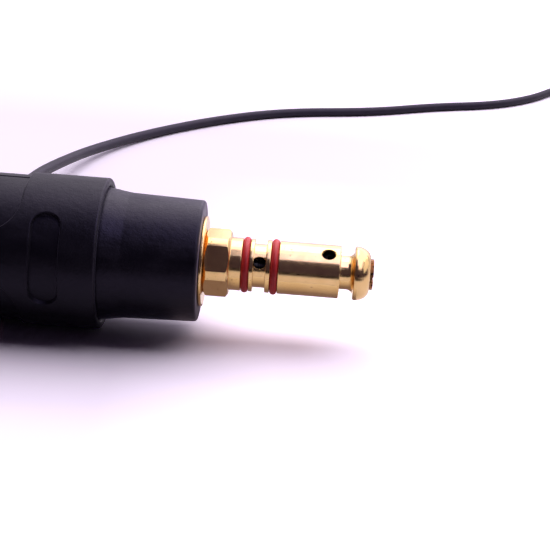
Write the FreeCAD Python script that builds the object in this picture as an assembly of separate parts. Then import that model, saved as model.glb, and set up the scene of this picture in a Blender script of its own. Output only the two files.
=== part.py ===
"""Machine end of a welding torch: brass plug, insulated housing and trigger lead.

Millimetres. X runs along the plug's axis, +X out of its nose. The origin is on that axis,
at the rear edge of the plain barrel. +Z is up, and the object lies on a surface below it.
"""
import FreeCAD, Part
import os
from math import cos, degrees, pi, radians, sin, sqrt, tan

V = FreeCAD.Vector
AXIS = V(1, 0, 0)
ORIGIN = V(0, 0, 0)

# Fits
running_clearance = 0.1
seat_clearance = 0.05
parting_gap = 0.15

# Plug: barrel, seal grooves and gas gallery
barrel_radius = 8.65
barrel_length = 20.65
barrel_edge = 0.4
o_ring_section = 2.62
o_ring_groove_radius = 6.6
groove_side_gap = 0.04
front_land = 1.55
gallery_length = 4.1
gallery_radius = 7.1
rear_land = 1.35
shoulder_length = 3.85
gas_hole_radius = 1.95
gas_hole_angle = 27.0
plug_bore_radius = 3.4

# Plug: neck, nose and the nut in it
neck_length = 4.7
neck_radius = 5.35
neck_blend = 1.2
nose_length = 5.6
nose_radius = 8.6
nose_straight = 2.4
nose_tip_radius = 6.4
nut_thread_radius = 4.0
nut_thread_depth = 9.0
nut_head_radius = 5.25
nut_head_length = 1.6
wire_hole_radius = 1.2
wire_mouth_radius = 2.2

# Plug: hexagon and threaded shank
hex_across_flats = 21.0
hex_turned_radius = 11.3
hex_length = 8.6
hex_chamfer = 0.9
hex_flat_angle = 25.5
shank_radius = 7.0
shank_length = 22.0
shank_relief_length = 2.4
shank_relief_depth = 0.8

# Grub screw in the barrel
grub_from_barrel_end = 3.8
grub_angle = 59.0
grub_radius = 2.0
grub_length = 4.3
grub_key_flats = 2.0
grub_key_depth = 1.8

# Wire liner
liner_radius = 2.3
liner_bore_radius = 1.1

# Housing: its outside, and the steps in from it to what it holds
ring_radius = 25.5
tongue_wall = 1.4
neck_step = 1.0
flare_step = 0.65
neck_wall = 3.4
boot_thickness = 11.0
shell_radius = ring_radius - tongue_wall - running_clearance
shell_neck_radius = shell_radius - neck_step
shell_band_radius = ring_radius
boot_flare_radius = shell_neck_radius - flare_step
boot_spigot_radius = shell_neck_radius - neck_wall

# Connector block
block_radius = shell_neck_radius - boot_thickness
flange_overhang = 3.3
flange_thickness = 1.2
block_groove_depth = 1.6
block_groove_length = 4.0
block_rear_from_outlet = 9.0
block_thread_length = 12.5
block_bore_radius = 3.6
cone_seat_wall = 2.8
cone_seat_depth = 12.0
flange_radius = block_radius + flange_overhang
block_groove_radius = block_radius - block_groove_depth
block_thread_radius = block_groove_radius
cone_seat_radius = block_thread_radius - cone_seat_wall

# Cable cone and its nut
cone_wall = 1.4
cone_collar_length = 2.0
cone_nut_across_flats = 2 * block_radius
cone_nut_length = 17.0
cone_nut_lip = 2.5

# Nose boot
boot_length = 32.1
boot_end_drop = 2.05
boot_waist_drop = 1.35
boot_end_round_axial = 1.4
boot_end_round_radial = 2.3
boot_flare_length = 9.1
boot_spigot_length = 15.0
boot_bead_height = 1.2
boot_bead_length = 4.0
boot_end_radius = boot_flare_radius - boot_end_drop
boot_waist_radius = boot_flare_radius - boot_waist_drop

# Housing shells
shell_wall = 2.8
shell_length = 108.0
shell_band_length = 10.0
shell_band_from_end = 21.0
shell_band_blend = 1.5
inlet_end_radius = 15.6
bulkhead_thickness = 3.8

# Locking ring
ring_band_length = 26.05
ring_lip_length = 1.3
ring_chamfer_axial = 1.1
ring_chamfer_radial = 1.5
lobe_angle = 10.4
tongue_half_width = 8.4
tongue_fillet = 11.0
oval_width = 9.6
oval_sweep = 73.0
oval_depth = 1.0
oval_from_front = 17.05
lug_height = 1.0
lug_length = 3.0
lug_sweep = 28.0
lug_from_lip = 7.0
twist_range = 40.0

# Shell screws
shell_screw_radius = 1.5
shell_screw_head_radius = 2.6
shell_screw_head_height = 1.8
shell_screw_length = 16.0
shell_screw_seat_depth = 8.5
shell_screw_inset = 6.5
shell_screw_offset = shell_radius - shell_screw_inset
shell_screw_front_from_step = 16.95
shell_screw_spacing = 38.0
shell_screw_head_gap = 0.2
boss_wall = 1.2
screw_recess_length = 3.2
screw_recess_width = 0.7
screw_recess_depth = 1.0

# Cable inlet bushing
inlet_bore_radius = 8.2
bushing_length = 13.0
bushing_radius = 13.2
bushing_groove_depth = 1.6
bushing_groove_length = 4.0

# Trigger lead: outlet, strain relief and jacket
lead_radius = 2.4
outlet_from_tongue = 1.25
outlet_boss_radius = 8.2
outlet_boss_height = 4.0
outlet_boss_reach = shell_radius + outlet_boss_height
outlet_seat_depth = 0.4
outlet_seat_reach = shell_radius - shell_wall + outlet_seat_depth
grommet_waist_radius = 4.6
grommet_flange_radius = 6.6
grommet_flange_length = 2.5
relief_base_radius = 6.4
relief_tip_radius = 3.7
relief_length = 29.0
jacket_end_reach = 13.6

# Signal wires and their crimped splices
wire_radius = 0.6
splice_radius = 1.7
splice_length = 13.0
splice_reach = 10.4
splice_spread = 8.4
splice_from_outlet = 5.0
core_spread = 2.0

# Coil of lead put away
coil_centre = V(212, 500, 0)
coil_outer_radius = 31.0
coil_turn_step = 6.5
coil_layer_step = 5.3
coil_lift = 1.1

# Tie round the coil
tie_width = 8.0
tie_thickness = 0.8
tie_slack = 0.3

# Control plug
plug_axis_height = 14.0
plug_tail_radius = 6.2
plug_tail_length = 13.0
plug_shoulder_length = 5.0
plug_body_radius = 11.6
plug_body_length = 14.0
plug_journal_radius = 10.0
plug_skirt_length = 19.0
plug_skirt_wall = 1.0
plug_cavity_wall = 2.0
coupling_radius = 14.0
coupling_wall = 1.8
coupling_web = 3.0
coupling_ribs = 20
coupling_rib_radius = 0.9
insert_length = 8.0
insert_from_mouth = 6.5
contact_radius = 1.0
contact_circle_radius = 5.4
contact_count = 4
clamp_width = 7.0
clamp_thickness = 2.6
clamp_screw_radius = 1.2
clamp_screw_offset = 5.0

# Stations along the axis, worked out from the lengths above
groove_length = o_ring_section + 2 * groove_side_gap
x_front_groove = -groove_length
x_gallery_front = x_front_groove - front_land
x_gallery_rear = x_gallery_front - gallery_length
x_rear_groove_front = x_gallery_rear - rear_land
x_rear_groove = x_rear_groove_front - groove_length
x_hex_front = x_rear_groove - shoulder_length
x_hex_rear = x_hex_front - hex_length
x_boot_end = x_hex_rear - flange_thickness
x_neck = barrel_length
x_nose = x_neck + neck_length
x_nose_end = x_nose + nose_length
x_grub = barrel_length - grub_from_barrel_end
x_ring_front = x_boot_end - boot_length
x_ring_lip = x_ring_front - ring_lip_length
x_ring_band = x_ring_front - ring_band_length
x_tongue_end = x_ring_band - tongue_fillet - tongue_half_width
x_step = x_ring_band - 0.3
x_neck_front = x_ring_lip - 0.3
x_shell_rear = x_neck_front - shell_length
x_outlet = x_tongue_end - outlet_from_tongue - outlet_boss_radius
x_block_rear = x_outlet + block_rear_from_outlet
x_groove_middle = x_ring_front - boot_spigot_length - bulkhead_thickness / 2
x_cone_nut_rear = x_block_rear - cone_collar_length - seat_clearance - cone_nut_lip
floor_z = -ring_radius


def radial(angle):
    """Unit vector at right angles to the axis; 0 is the near side, 90 is up."""
    return V(0, -cos(radians(angle)), sin(radians(angle)))


def turned(profile, start=ORIGIN, axis=AXIS):
    """A solid turned about an axis from closed (along, radius) points.

    A point given as three pairs in a tuple is an arc: its start, its middle and its end.
    """
    side = V(0, 0, 1)

    def place(pair):
        return V(pair[0], 0, 0) + side * pair[1]

    edges = []
    points = []
    for item in profile:
        if len(item) == 3:
            points.append([place(pair) for pair in item])
        else:
            points.append([place(item)])
    for index, item in enumerate(points):
        following = points[(index + 1) % len(points)]
        if len(item) == 3:
            edges.append(Part.Arc(item[0], item[1], item[2]).toShape())
        if (following[0] - item[-1]).Length > 1e-6:
            edges.append(Part.LineSegment(item[-1], following[0]).toShape())
    face = Part.Face(Part.Wire(edges))
    solid = face.revolve(ORIGIN, AXIS, 360)
    turn = FreeCAD.Rotation(AXIS, axis)
    solid.Placement = FreeCAD.Placement(start, turn)
    return solid


def tube(outer, inner, x_low, x_high):
    """A plain tube on the main axis."""
    return turned([(x_low, inner), (x_high, inner), (x_high, outer), (x_low, outer)])


def rod(radius, start, axis, length):
    return Part.makeCylinder(radius, length, start, axis)


def hexagon(across_flats, x_low, length, flat_angle):
    """A hexagonal bar on the main axis with one flat facing flat_angle."""
    corner = across_flats / 2 / cos(radians(30))
    points = [V(x_low, 0, 0) + radial(flat_angle + 30 + 60 * n) * corner for n in range(7)]
    return Part.Face(Part.makePolygon(points)).extrude(V(length, 0, 0))


def make_power_pin():
    """The turned brass plug: nose, neck, barrel, grooves, gallery, hexagon and shank."""
    blend = neck_blend
    bead_centre = (x_nose + nose_straight, nose_radius)
    round_middle = (x_nose_end - 0.29 * (nose_length - nose_straight),
                    nose_radius - 0.29 * (nose_radius - nose_tip_radius))
    shank_end = x_hex_rear - shank_length
    profile = [
        (shank_end, plug_bore_radius),
        (shank_end, shank_radius - 1),
        (shank_end + 1, shank_radius),
        (x_hex_rear - shank_relief_length, shank_radius),
        (x_hex_rear - shank_relief_length, shank_radius - shank_relief_depth),
        (x_hex_rear, shank_radius - shank_relief_depth),
        (x_hex_rear, hex_turned_radius - hex_chamfer),
        (x_hex_rear + hex_chamfer / 2, hex_turned_radius),
        (x_hex_front - hex_chamfer / 2, hex_turned_radius),
        (x_hex_front, hex_turned_radius - hex_chamfer),
        (x_hex_front, barrel_radius),
        (x_rear_groove, barrel_radius),
        (x_rear_groove, o_ring_groove_radius),
        (x_rear_groove_front, o_ring_groove_radius),
        (x_rear_groove_front, barrel_radius),
        (x_gallery_rear, barrel_radius),
        (x_gallery_rear, gallery_radius),
        (x_gallery_front, gallery_radius),
        (x_gallery_front, barrel_radius),
        (x_front_groove, barrel_radius),
        (x_front_groove, o_ring_groove_radius),
        (0, o_ring_groove_radius),
        (0, barrel_radius),
        (barrel_length - barrel_edge, barrel_radius),
        (barrel_length, barrel_radius - barrel_edge),
        (x_neck, neck_radius),
        (x_nose - blend, neck_radius),
        (x_nose, neck_radius + blend),
        (x_nose, nose_radius - barrel_edge),
        (x_nose + barrel_edge, nose_radius),
        (bead_centre, round_middle, (x_nose_end, nose_tip_radius)),
        (x_nose_end, nut_thread_radius),
        (x_nose_end - nut_thread_depth, nut_thread_radius),
        (x_nose_end - nut_thread_depth - 1, plug_bore_radius),
    ]
    pin = turned(profile)
    hex_blank = hexagon(hex_across_flats, x_hex_rear, hex_length, hex_flat_angle)
    hex_waste = tube(hex_turned_radius + 5, 0, x_hex_rear, x_hex_front).cut(hex_blank)
    gas_hole_x = (x_gallery_front + x_gallery_rear) / 2
    gas_start = V(gas_hole_x, 0, 0) - radial(gas_hole_angle) * barrel_radius
    gas_hole = rod(gas_hole_radius, gas_start, radial(gas_hole_angle), 2 * barrel_radius)
    grub_hole = rod(grub_radius + seat_clearance, V(x_grub, 0, 0), radial(grub_angle),
                    barrel_radius + 1)
    return pin.cut([hex_waste, gas_hole, grub_hole])


def make_o_ring(x_low):
    ring_centre = o_ring_groove_radius + seat_clearance + o_ring_section / 2
    middle = V(x_low + groove_length / 2, 0, 0)
    return Part.makeTorus(ring_centre, o_ring_section / 2, middle, AXIS)


def make_liner_nut():
    """Threads into the nose and traps the wire liner; the wire leaves through its mouth."""
    thread = nut_thread_radius - seat_clearance
    seat_end = x_nose_end - nut_thread_depth + 1.5
    mouth = wire_mouth_radius - wire_hole_radius
    head_end = x_nose_end + nut_head_length
    nut = turned([
        (seat_end, liner_radius + seat_clearance),
        (x_nose_end - 2, liner_radius + seat_clearance),
        (x_nose_end - 2, wire_hole_radius),
        (head_end - mouth, wire_hole_radius),
        (head_end, wire_mouth_radius),
        (head_end, nut_head_radius - 0.4),
        (head_end - 0.4, nut_head_radius),
        (x_nose_end, nut_head_radius),
        (x_nose_end, thread),
        (seat_end, thread),
    ])
    slot = Part.makeBox(1.0, 2 * nut_head_radius, 1.4, V(head_end - 1.0, -nut_head_radius, -0.7))
    return nut.cut(slot)


def make_grub_screw():
    outward = radial(grub_angle)
    base = V(x_grub, 0, 0) + outward * (liner_radius + seat_clearance)
    screw = rod(grub_radius, base, outward, grub_length)
    corner = grub_key_flats / 2 / cos(radians(30))
    across = AXIS.cross(outward)
    key_base = base + outward * (grub_length - grub_key_depth)
    points = []
    for n in range(7):
        turn = radians(60 * n)
        points.append(key_base + AXIS * (corner * cos(turn)) + across * (corner * sin(turn)))
    key = Part.Face(Part.makePolygon(points)).extrude(outward * (grub_key_depth + 1))
    return screw.cut(key)


def make_wire_liner():
    return tube(liner_radius, liner_bore_radius, x_cone_nut_rear, x_nose_end - 2 - seat_clearance)


def make_connector_block():
    """The brass block that the plug screws into; its flange clamps the boot's end."""
    socket = shank_radius + seat_clearance
    shank_end = x_hex_rear - shank_length
    groove = block_groove_length / 2
    thread_start = x_block_rear + block_thread_length
    return turned([
        (x_block_rear, cone_seat_radius),
        (x_block_rear + cone_seat_depth, block_bore_radius),
        (shank_end - 1, block_bore_radius),
        (shank_end - 1, socket),
        (x_hex_rear, socket),
        (x_hex_rear, flange_radius - 0.3),
        (x_hex_rear - 0.3, flange_radius),
        (x_boot_end, flange_radius),
        (x_boot_end, block_radius),
        (x_groove_middle + groove, block_radius),
        (x_groove_middle + groove, block_groove_radius),
        (x_groove_middle - groove, block_groove_radius),
        (x_groove_middle - groove, block_radius),
        (thread_start, block_radius),
        (thread_start, block_thread_radius),
        (x_block_rear, block_thread_radius),
    ])


def make_cable_cone():
    """Hollow cone that wedges the cable's strands in the block's tapered seat."""
    gap = seat_clearance
    slope = (cone_seat_radius - block_bore_radius) / cone_seat_depth
    tip = x_block_rear + cone_seat_depth * 0.6
    tip_radius = cone_seat_radius - slope * cone_seat_depth * 0.6 - gap
    base = cone_seat_radius - gap
    rear = x_block_rear - cone_collar_length
    bore = tip_radius - cone_wall
    return turned([
        (rear, base - cone_wall),
        (x_block_rear, base - cone_wall),
        (tip, bore),
        (tip, tip_radius),
        (x_block_rear, base),
        (rear, base),
    ])


def make_cable_cone_nut():
    """Hexagonal nut on the block's rear thread that pulls the cone home."""
    rear = x_cone_nut_rear
    front = rear + cone_nut_length
    bore = block_thread_radius + seat_clearance
    throat = cone_seat_radius - cone_wall
    face_radius = cone_nut_across_flats / 2 + 0.4
    body_radius = cone_nut_across_flats / 2 + 1.6
    outer = turned([
        (rear, 0),
        (front, 0),
        (front, face_radius),
        (front - 1, body_radius),
        (rear + 1, body_radius),
        (rear, face_radius),
    ])
    hole = turned([
        (rear - 1, 0),
        (rear - 1, throat),
        (rear + cone_nut_lip, throat),
        (rear + cone_nut_lip, bore),
        (front + 1, bore),
        (front + 1, 0),
    ])
    return hexagon(cone_nut_across_flats, rear, cone_nut_length, 90).common(outer).cut(hole)


def make_nose_boot():
    """Rubber boot round the block; its spigot is held in the shells' neck."""
    bore = block_radius + seat_clearance
    spigot_end = x_ring_front - boot_spigot_length
    bead_end = spigot_end + boot_bead_length
    flare_end = x_ring_front + boot_flare_length
    flare_middle = (x_ring_front + 0.45 * boot_flare_length,
                    boot_waist_radius + 0.42 * (boot_flare_radius - boot_waist_radius))
    round_start = (x_boot_end - boot_end_round_axial, boot_end_radius)
    round_middle = (x_boot_end - 0.29 * boot_end_round_axial,
                    boot_end_radius - 0.29 * boot_end_round_radial)
    return turned([
        (spigot_end, bore),
        (x_boot_end, bore),
        ((x_boot_end, boot_end_radius - boot_end_round_radial), round_middle, round_start),
        ((flare_end, boot_waist_radius), flare_middle, (x_ring_front, boot_flare_radius)),
        (x_neck_front, boot_flare_radius),
        (x_neck_front, boot_spigot_radius),
        (bead_end, boot_spigot_radius),
        (bead_end - 0.5, boot_spigot_radius + boot_bead_height),
        (spigot_end, boot_spigot_radius + boot_bead_height),
    ])


def shell_outline():
    """The closed housing before it is hollowed, parted and bored."""
    band_front = x_shell_rear + shell_band_from_end + shell_band_length
    band_rear = x_shell_rear + shell_band_from_end
    blend = shell_band_blend
    taper_middle = (x_shell_rear + 0.5 * (shell_band_from_end - blend),
                    inlet_end_radius + 0.62 * (shell_radius - inlet_end_radius))
    return turned([
        (x_shell_rear, 0),
        (x_neck_front, 0),
        (x_neck_front, shell_neck_radius),
        (x_step, shell_neck_radius),
        (x_step, shell_radius),
        (band_front + blend, shell_radius),
        (band_front, shell_band_radius),
        (band_rear, shell_band_radius),
        ((band_rear - blend, shell_radius), taper_middle, (x_shell_rear, inlet_end_radius)),
    ])


def shell_hollow():
    """Everything inside the two shells, from the boot's spigot to the inlet bushing."""
    spigot = boot_spigot_radius + seat_clearance
    spigot_end = x_ring_front - boot_spigot_length
    bead = spigot + boot_bead_height
    bulkhead_front = x_groove_middle + bulkhead_thickness / 2
    bulkhead_rear = x_groove_middle - bulkhead_thickness / 2
    room = shell_radius - shell_wall
    room_rear = x_shell_rear + shell_band_from_end
    bushing_front = x_shell_rear + bushing_length
    groove_front = x_shell_rear + (bushing_length + bushing_groove_length) / 2
    groove_rear = groove_front - bushing_groove_length
    grip = bushing_radius - bushing_groove_depth + seat_clearance
    seat = bushing_radius + seat_clearance
    return turned([
        (x_shell_rear - 1, 0),
        (x_neck_front + 1, 0),
        (x_neck_front + 1, spigot),
        (spigot_end + boot_bead_length, spigot),
        (spigot_end + boot_bead_length, bead),
        (bulkhead_front, bead),
        (bulkhead_front, block_groove_radius + seat_clearance),
        (bulkhead_rear, block_groove_radius + seat_clearance),
        (bulkhead_rear, room - 1.5),
        (x_step - shell_wall, room - 1.5),
        (x_step - shell_wall - 1.5, room),
        (room_rear, room),
        (bushing_front, seat),
        (groove_front, seat),
        (groove_front, grip),
        (groove_rear, grip),
        (groove_rear, seat),
        (x_shell_rear - 1, seat),
    ])


def ring_lug(clearance, sweep, x_low, x_high):
    """Two opposed bayonet lugs inside the ring, or with clearance the slots for them."""
    inner = shell_neck_radius + running_clearance - lug_height - clearance
    outer = shell_neck_radius + running_clearance + 0.5
    sector = tube(outer, inner, x_low - clearance, x_high + clearance)
    keep = []
    for side in (0, 180):
        start = lobe_angle + side + sweep[0]
        span = sweep[1] - sweep[0]
        keep.append(wedge(start, span, x_low - 1 - clearance, x_high + 1 + clearance))
    return sector.common(keep[0].fuse(keep[1]))


def wedge(start_angle, span, x_low, x_high):
    """A sector of a disc about the axis, from start_angle over span degrees."""
    reach = 2 * ring_radius
    steps = max(2, int(span / 45) + 1)
    points = [V(x_low, 0, 0)]
    for n in range(steps + 1):
        points.append(V(x_low, 0, 0) + radial(start_angle + span * n / steps) * reach)
    points.append(V(x_low, 0, 0))
    return Part.Face(Part.makePolygon(points)).extrude(V(x_high - x_low, 0, 0))


SCREW_WAY = V(0, -1, 0)


def screw_points(along):
    """A point on each shell screw's axis, so far past the parting plane towards its tip."""
    front = x_step - shell_screw_front_from_step
    points = []
    for x in (front, front - shell_screw_spacing):
        for z in (-shell_screw_offset, shell_screw_offset):
            points.append(V(x, 0, z) + SCREW_WAY * along)
    return points


def screw_rods(radius, low, high):
    return [rod(radius, point, SCREW_WAY, high - low) for point in screw_points(low)]


def lug_span():
    middle = x_ring_lip - lug_from_lip
    return middle - lug_length / 2, middle + lug_length / 2


def make_shells():
    """The two moulded halves, parted at the upright plane through the axis."""
    body = shell_outline()
    back = V(0, 1, 0)
    inside = shell_radius - shell_wall
    outlet = rod(outlet_boss_radius, V(x_outlet, inside - 2, 0), back,
                 outlet_boss_reach - inside + 2)
    body = body.fuse(outlet).cut(shell_hollow())
    seat_radius = shell_screw_head_radius + shell_screw_head_gap
    skin = shell_outline()
    for post in screw_rods(seat_radius + boss_wall, -shell_radius, shell_radius):
        body = body.fuse(post.common(skin))
    shank_end = shell_screw_length - shell_screw_seat_depth + 0.5
    holes = screw_rods(seat_radius, -shell_band_radius, -shell_screw_seat_depth)
    holes += screw_rods(shell_screw_radius + seat_clearance, -shell_screw_seat_depth, shank_end)
    holes.append(rod(grommet_waist_radius + seat_clearance, V(x_outlet, 0, 0), back,
                     outlet_boss_reach + 1))
    holes.append(rod(grommet_flange_radius + seat_clearance, V(x_outlet, 0, 0), back,
                     outlet_seat_reach))
    low, high = lug_span()
    slot = ring_lug(0.3, (-lug_sweep / 2 - 1, lug_sweep / 2 + twist_range + 1), low, high)
    entry = ring_lug(0.3, (twist_range - lug_sweep / 2 - 1, lug_sweep / 2 + twist_range + 1),
                     low, x_neck_front + 1)
    body = body.cut(holes + [slot, entry])
    length = shell_length + 2 * ring_radius
    reach = 2 * ring_radius
    start = x_shell_rear - ring_radius
    far_room = Part.makeBox(length, reach, 2 * reach, V(start, parting_gap / 2, -reach))
    near_room = Part.makeBox(length, reach, 2 * reach,
                             V(start, -reach - parting_gap / 2, -reach))
    return body.common(near_room), body.common(far_room)


def make_locking_ring():
    """Bayonet ring with two scalloped tongues and an oval finger recess on each."""
    bore = shell_neck_radius + running_clearance
    tongue_bore = shell_radius + running_clearance
    chamfer_start = x_ring_front - ring_chamfer_axial
    ring = turned([
        (x_ring_lip, bore),
        (x_ring_lip, boot_flare_radius + running_clearance),
        (x_ring_front, boot_flare_radius + running_clearance),
        (x_ring_front, ring_radius - ring_chamfer_radial),
        (chamfer_start, ring_radius),
        (x_tongue_end, ring_radius),
        (x_tongue_end, tongue_bore),
        (x_ring_band, tongue_bore),
        (x_ring_band, bore),
    ])
    ring = ring.common(tongue_outline())
    low, high = lug_span()
    ring = ring.fuse(ring_lug(0, (-lug_sweep / 2, lug_sweep / 2), low, high))
    return ring.cut(oval_recesses())


def tongue_outline():
    """What is left of the ring seen along the tongues: a band, and a tongue that runs out
    of it through two hollow curves to a round tip."""
    across = radial(lobe_angle + 90)
    lobe = radial(lobe_angle)
    reach = 2 * ring_radius
    x_side = x_ring_band - tongue_fillet
    root = tongue_half_width + tongue_fillet
    slant = tongue_fillet * cos(radians(45))

    def spot(x, half_width):
        return V(x, 0, 0) + across * half_width - lobe * reach

    def hollow(side):
        return spot(x_side + slant, side * (root - slant))

    corners = [spot(x_ring_band, root), spot(x_ring_band, reach),
               spot(x_ring_front + reach, reach), spot(x_ring_front + reach, -reach),
               spot(x_ring_band, -reach), spot(x_ring_band, -root)]
    edges = [Part.LineSegment(a, b).toShape() for a, b in zip(corners, corners[1:])]
    left, right = spot(x_side, -tongue_half_width), spot(x_side, tongue_half_width)
    tip = spot(x_side - tongue_half_width, 0)
    edges += [Part.Arc(corners[-1], hollow(-1), left).toShape(),
              Part.Arc(left, tip, right).toShape(),
              Part.Arc(right, hollow(1), corners[0]).toShape()]
    return Part.Face(Part.Wire(edges)).extrude(lobe * 2 * reach)


def oval_recesses():
    """Two long ovals that run round the ring, one on each tongue."""
    end_radius = oval_width / 2
    floor = ring_radius - oval_depth
    x_middle = x_ring_front - oval_from_front
    end_angle = degrees(end_radius / ring_radius)
    half = oval_sweep / 2 - end_angle
    cutters = []
    for side in (0, 180):
        middle = lobe_angle + side
        cutters.append(wedge(middle - half, 2 * half, x_middle - end_radius,
                             x_middle + end_radius))
        for end in (-half, half):
            cutters.append(rod(end_radius, V(x_middle, 0, 0), radial(middle + end),
                               2 * ring_radius))
    band = tube(ring_radius + 2, floor, x_middle - oval_width, x_middle + oval_width)
    outline = cutters[0].fuse(cutters[1:])
    return band.common(outline)


def make_shell_screws():
    """Pan head screws that go through the far shell into the near one."""
    seat = -shell_screw_seat_depth - seat_clearance
    top = seat - shell_screw_head_height
    heads = screw_rods(shell_screw_head_radius, top, seat)
    shanks = screw_rods(shell_screw_radius, seat - 0.1, seat + shell_screw_length)
    screws = []
    for head, shank, face in zip(heads, shanks, screw_points(top)):
        cross = []
        for along, up in ((screw_recess_length, screw_recess_width),
                          (screw_recess_width, screw_recess_length)):
            corner = face + V(-along / 2, -screw_recess_depth, -up / 2)
            cross.append(Part.makeBox(along, screw_recess_depth, up, corner))
        screws.append(head.fuse(shank).cut(cross))
    return Part.makeCompound(screws)


def make_inlet_bushing():
    """Rubber ring that the cable would pass through, gripped by the shells' rear end."""
    groove_front = x_shell_rear + (bushing_length + bushing_groove_length) / 2
    groove_rear = groove_front - bushing_groove_length
    front = x_shell_rear + bushing_length
    return turned([
        (x_shell_rear, inlet_bore_radius + 0.8),
        (x_shell_rear + 0.8, inlet_bore_radius),
        (front, inlet_bore_radius),
        (front, bushing_radius - 1),
        (front - 1, bushing_radius),
        (groove_front + seat_clearance, bushing_radius),
        (groove_front + seat_clearance, bushing_radius - bushing_groove_depth),
        (groove_rear - seat_clearance, bushing_radius - bushing_groove_depth),
        (groove_rear - seat_clearance, bushing_radius),
        (x_shell_rear, bushing_radius),
    ])


def make_lead_grommet():
    """Strain relief of the trigger lead: flange inside, waist in the boss, taper outside."""
    bore = lead_radius + seat_clearance
    inside = outlet_seat_reach - seat_clearance
    boss_end = outlet_boss_reach + seat_clearance
    tip = boss_end + relief_length
    return turned([
        (inside - grommet_flange_length, bore),
        (tip, bore),
        (tip, relief_tip_radius - 0.5),
        (tip - 0.5, relief_tip_radius),
        (boss_end + 5, relief_base_radius - 0.5),
        (boss_end + 1, relief_base_radius),
        (boss_end, relief_base_radius),
        (boss_end, grommet_waist_radius),
        (inside, grommet_waist_radius),
        (inside, grommet_flange_radius),
        (inside - grommet_flange_length, grommet_flange_radius),
    ], V(x_outlet, 0, 0), V(0, 1, 0))


relief_tip_reach = outlet_boss_reach + seat_clearance + relief_length


def rounded_path(points, name):
    """Straight runs joined by tangent arcs; prints the arc radii."""
    edges = []
    radii = []
    last = points[0]
    for before, corner, after in zip(points, points[1:], points[2:]):
        into = (corner - before).normalize()
        out = (after - corner).normalize()
        turn = into.getAngle(out)
        shorter = min((corner - before).Length, (after - corner).Length)
        along = 0.45 * shorter
        radius = along / tan(turn / 2)
        radii.append(round(radius, 1))
        start = corner - into * along
        end = corner + out * along
        inward = (out - into).normalize()
        middle = corner + inward * (radius * (1 / cos(turn / 2) - 1))
        edges.append(Part.LineSegment(last, start).toShape())
        edges.append(Part.Arc(start, middle, end).toShape())
        last = end
    edges.append(Part.LineSegment(last, points[-1]).toShape())
    print(name, "arc radii", radii)
    return Part.Wire(edges)


def tube_along(path, radius, name):
    """A round tube along a path; prints its length and how its volume compares."""
    first = path.Edges[0]
    start = first.valueAt(first.FirstParameter)
    direction = first.tangentAt(first.FirstParameter)
    section = Part.Wire([Part.Circle(start, direction, radius).toShape()])
    solid = path.makePipeShell([section], True, False)
    expected = pi * radius ** 2 * path.Length
    print(name, "length", round(path.Length, 1), "volume ratio", round(solid.Volume / expected, 4))
    return solid


def biarc(start, start_way, end, end_way):
    """Two arcs that leave start along start_way and reach end along end_way."""
    chord = end - start
    both = start_way + end_way
    a = both.dot(both) - 4
    b = -2 * chord.dot(both)
    c = chord.dot(chord)
    if abs(a) < 1e-9:
        reach = -c / b
    else:
        reach = (-b - sqrt(b * b - 4 * a * c)) / (2 * a)
    first_corner = start + start_way * reach
    second_corner = end - end_way * reach
    joint = (first_corner + second_corner) * 0.5
    arcs = []
    for begin, corner, finish in ((start, first_corner, joint), (joint, second_corner, end)):
        into = (corner - begin).normalize()
        out = (finish - corner).normalize()
        turn = into.getAngle(out)
        radius = (corner - begin).Length / tan(turn / 2)
        inward = (out - into).normalize()
        middle = corner + inward * (radius * (1 / cos(turn / 2) - 1))
        arcs.append(Part.Arc(begin, middle, finish).toShape())
    return arcs


lead_floor = floor_z + lead_radius
coil_base = lead_floor + coil_lift
coil_top = coil_base + coil_layer_step
coil_inner_radius = coil_outer_radius - coil_turn_step


def coil_stations():
    """(radius, height) at every half turn: in, up a layer, and out again."""
    half_step = coil_turn_step / 2
    return [
        (coil_outer_radius, coil_base),
        (coil_outer_radius - half_step, coil_base),
        (coil_inner_radius, coil_base),
        (coil_inner_radius, coil_top),
        (coil_outer_radius - half_step, coil_top),
        (coil_outer_radius, coil_top),
    ]


def make_coil():
    """The unseen length of the lead, wound clockwise from its outer turn."""
    points = []
    ways = []
    for n, (radius, height) in enumerate(coil_stations()):
        side = -1 if n % 2 == 0 else 1
        points.append(V(coil_centre.x + side * radius, coil_centre.y, height))
        ways.append(V(0, -side, 0))
    straight = 2 * lead_radius
    start = points[0] - ways[0] * straight
    end = points[-1] + ways[-1] * straight
    edges = [Part.LineSegment(start, points[0]).toShape()]
    for n in range(len(points) - 1):
        edges += biarc(points[n], ways[n], points[n + 1], ways[n + 1])
    edges.append(Part.LineSegment(points[-1], end).toShape())
    path = Part.Wire(edges)
    print("coil gap to itself", round(self_gap(path), 2))
    return tube_along(path, lead_radius, "trigger_lead_coil"), start, end


def self_gap(path):
    """Least clear distance between the coil's turns, measured on points along it."""
    spacing = 1.0
    apart = int(8 * lead_radius / spacing)
    points = path.discretize(Distance=spacing)
    least = 1e9
    for n, point in enumerate(points):
        for other in points[n + apart:]:
            least = min(least, (point - other).Length)
    return least - 2 * lead_radius


def make_lead(end):
    """The stretch from the strain relief to the coil: down to the surface and along it."""
    points = [
        V(x_outlet, relief_tip_reach, 0),
        V(x_outlet, 80.8, 0),
        V(-108.3, 103, -8.8),
        V(-108.3, 128.5, -11.5),
        V(-105.4, 161.4, -15.4),
        V(-100, 205.4, -21),
        V(-79.7, 252, lead_floor),
        V(-46.2, 294.6, lead_floor),
        V(-8.8, 326.6, lead_floor),
        V(40.3, 343, lead_floor),
        V(78.2, 369.5, lead_floor),
        V(115.1, 386.3, lead_floor),
        V(142.2, 413, lead_floor),
        V(160, 444, lead_floor),
        V(end.x, 472, end.z),
        end,
    ]
    return tube_along(rounded_path(points, "trigger_lead"), lead_radius, "trigger_lead")


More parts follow.
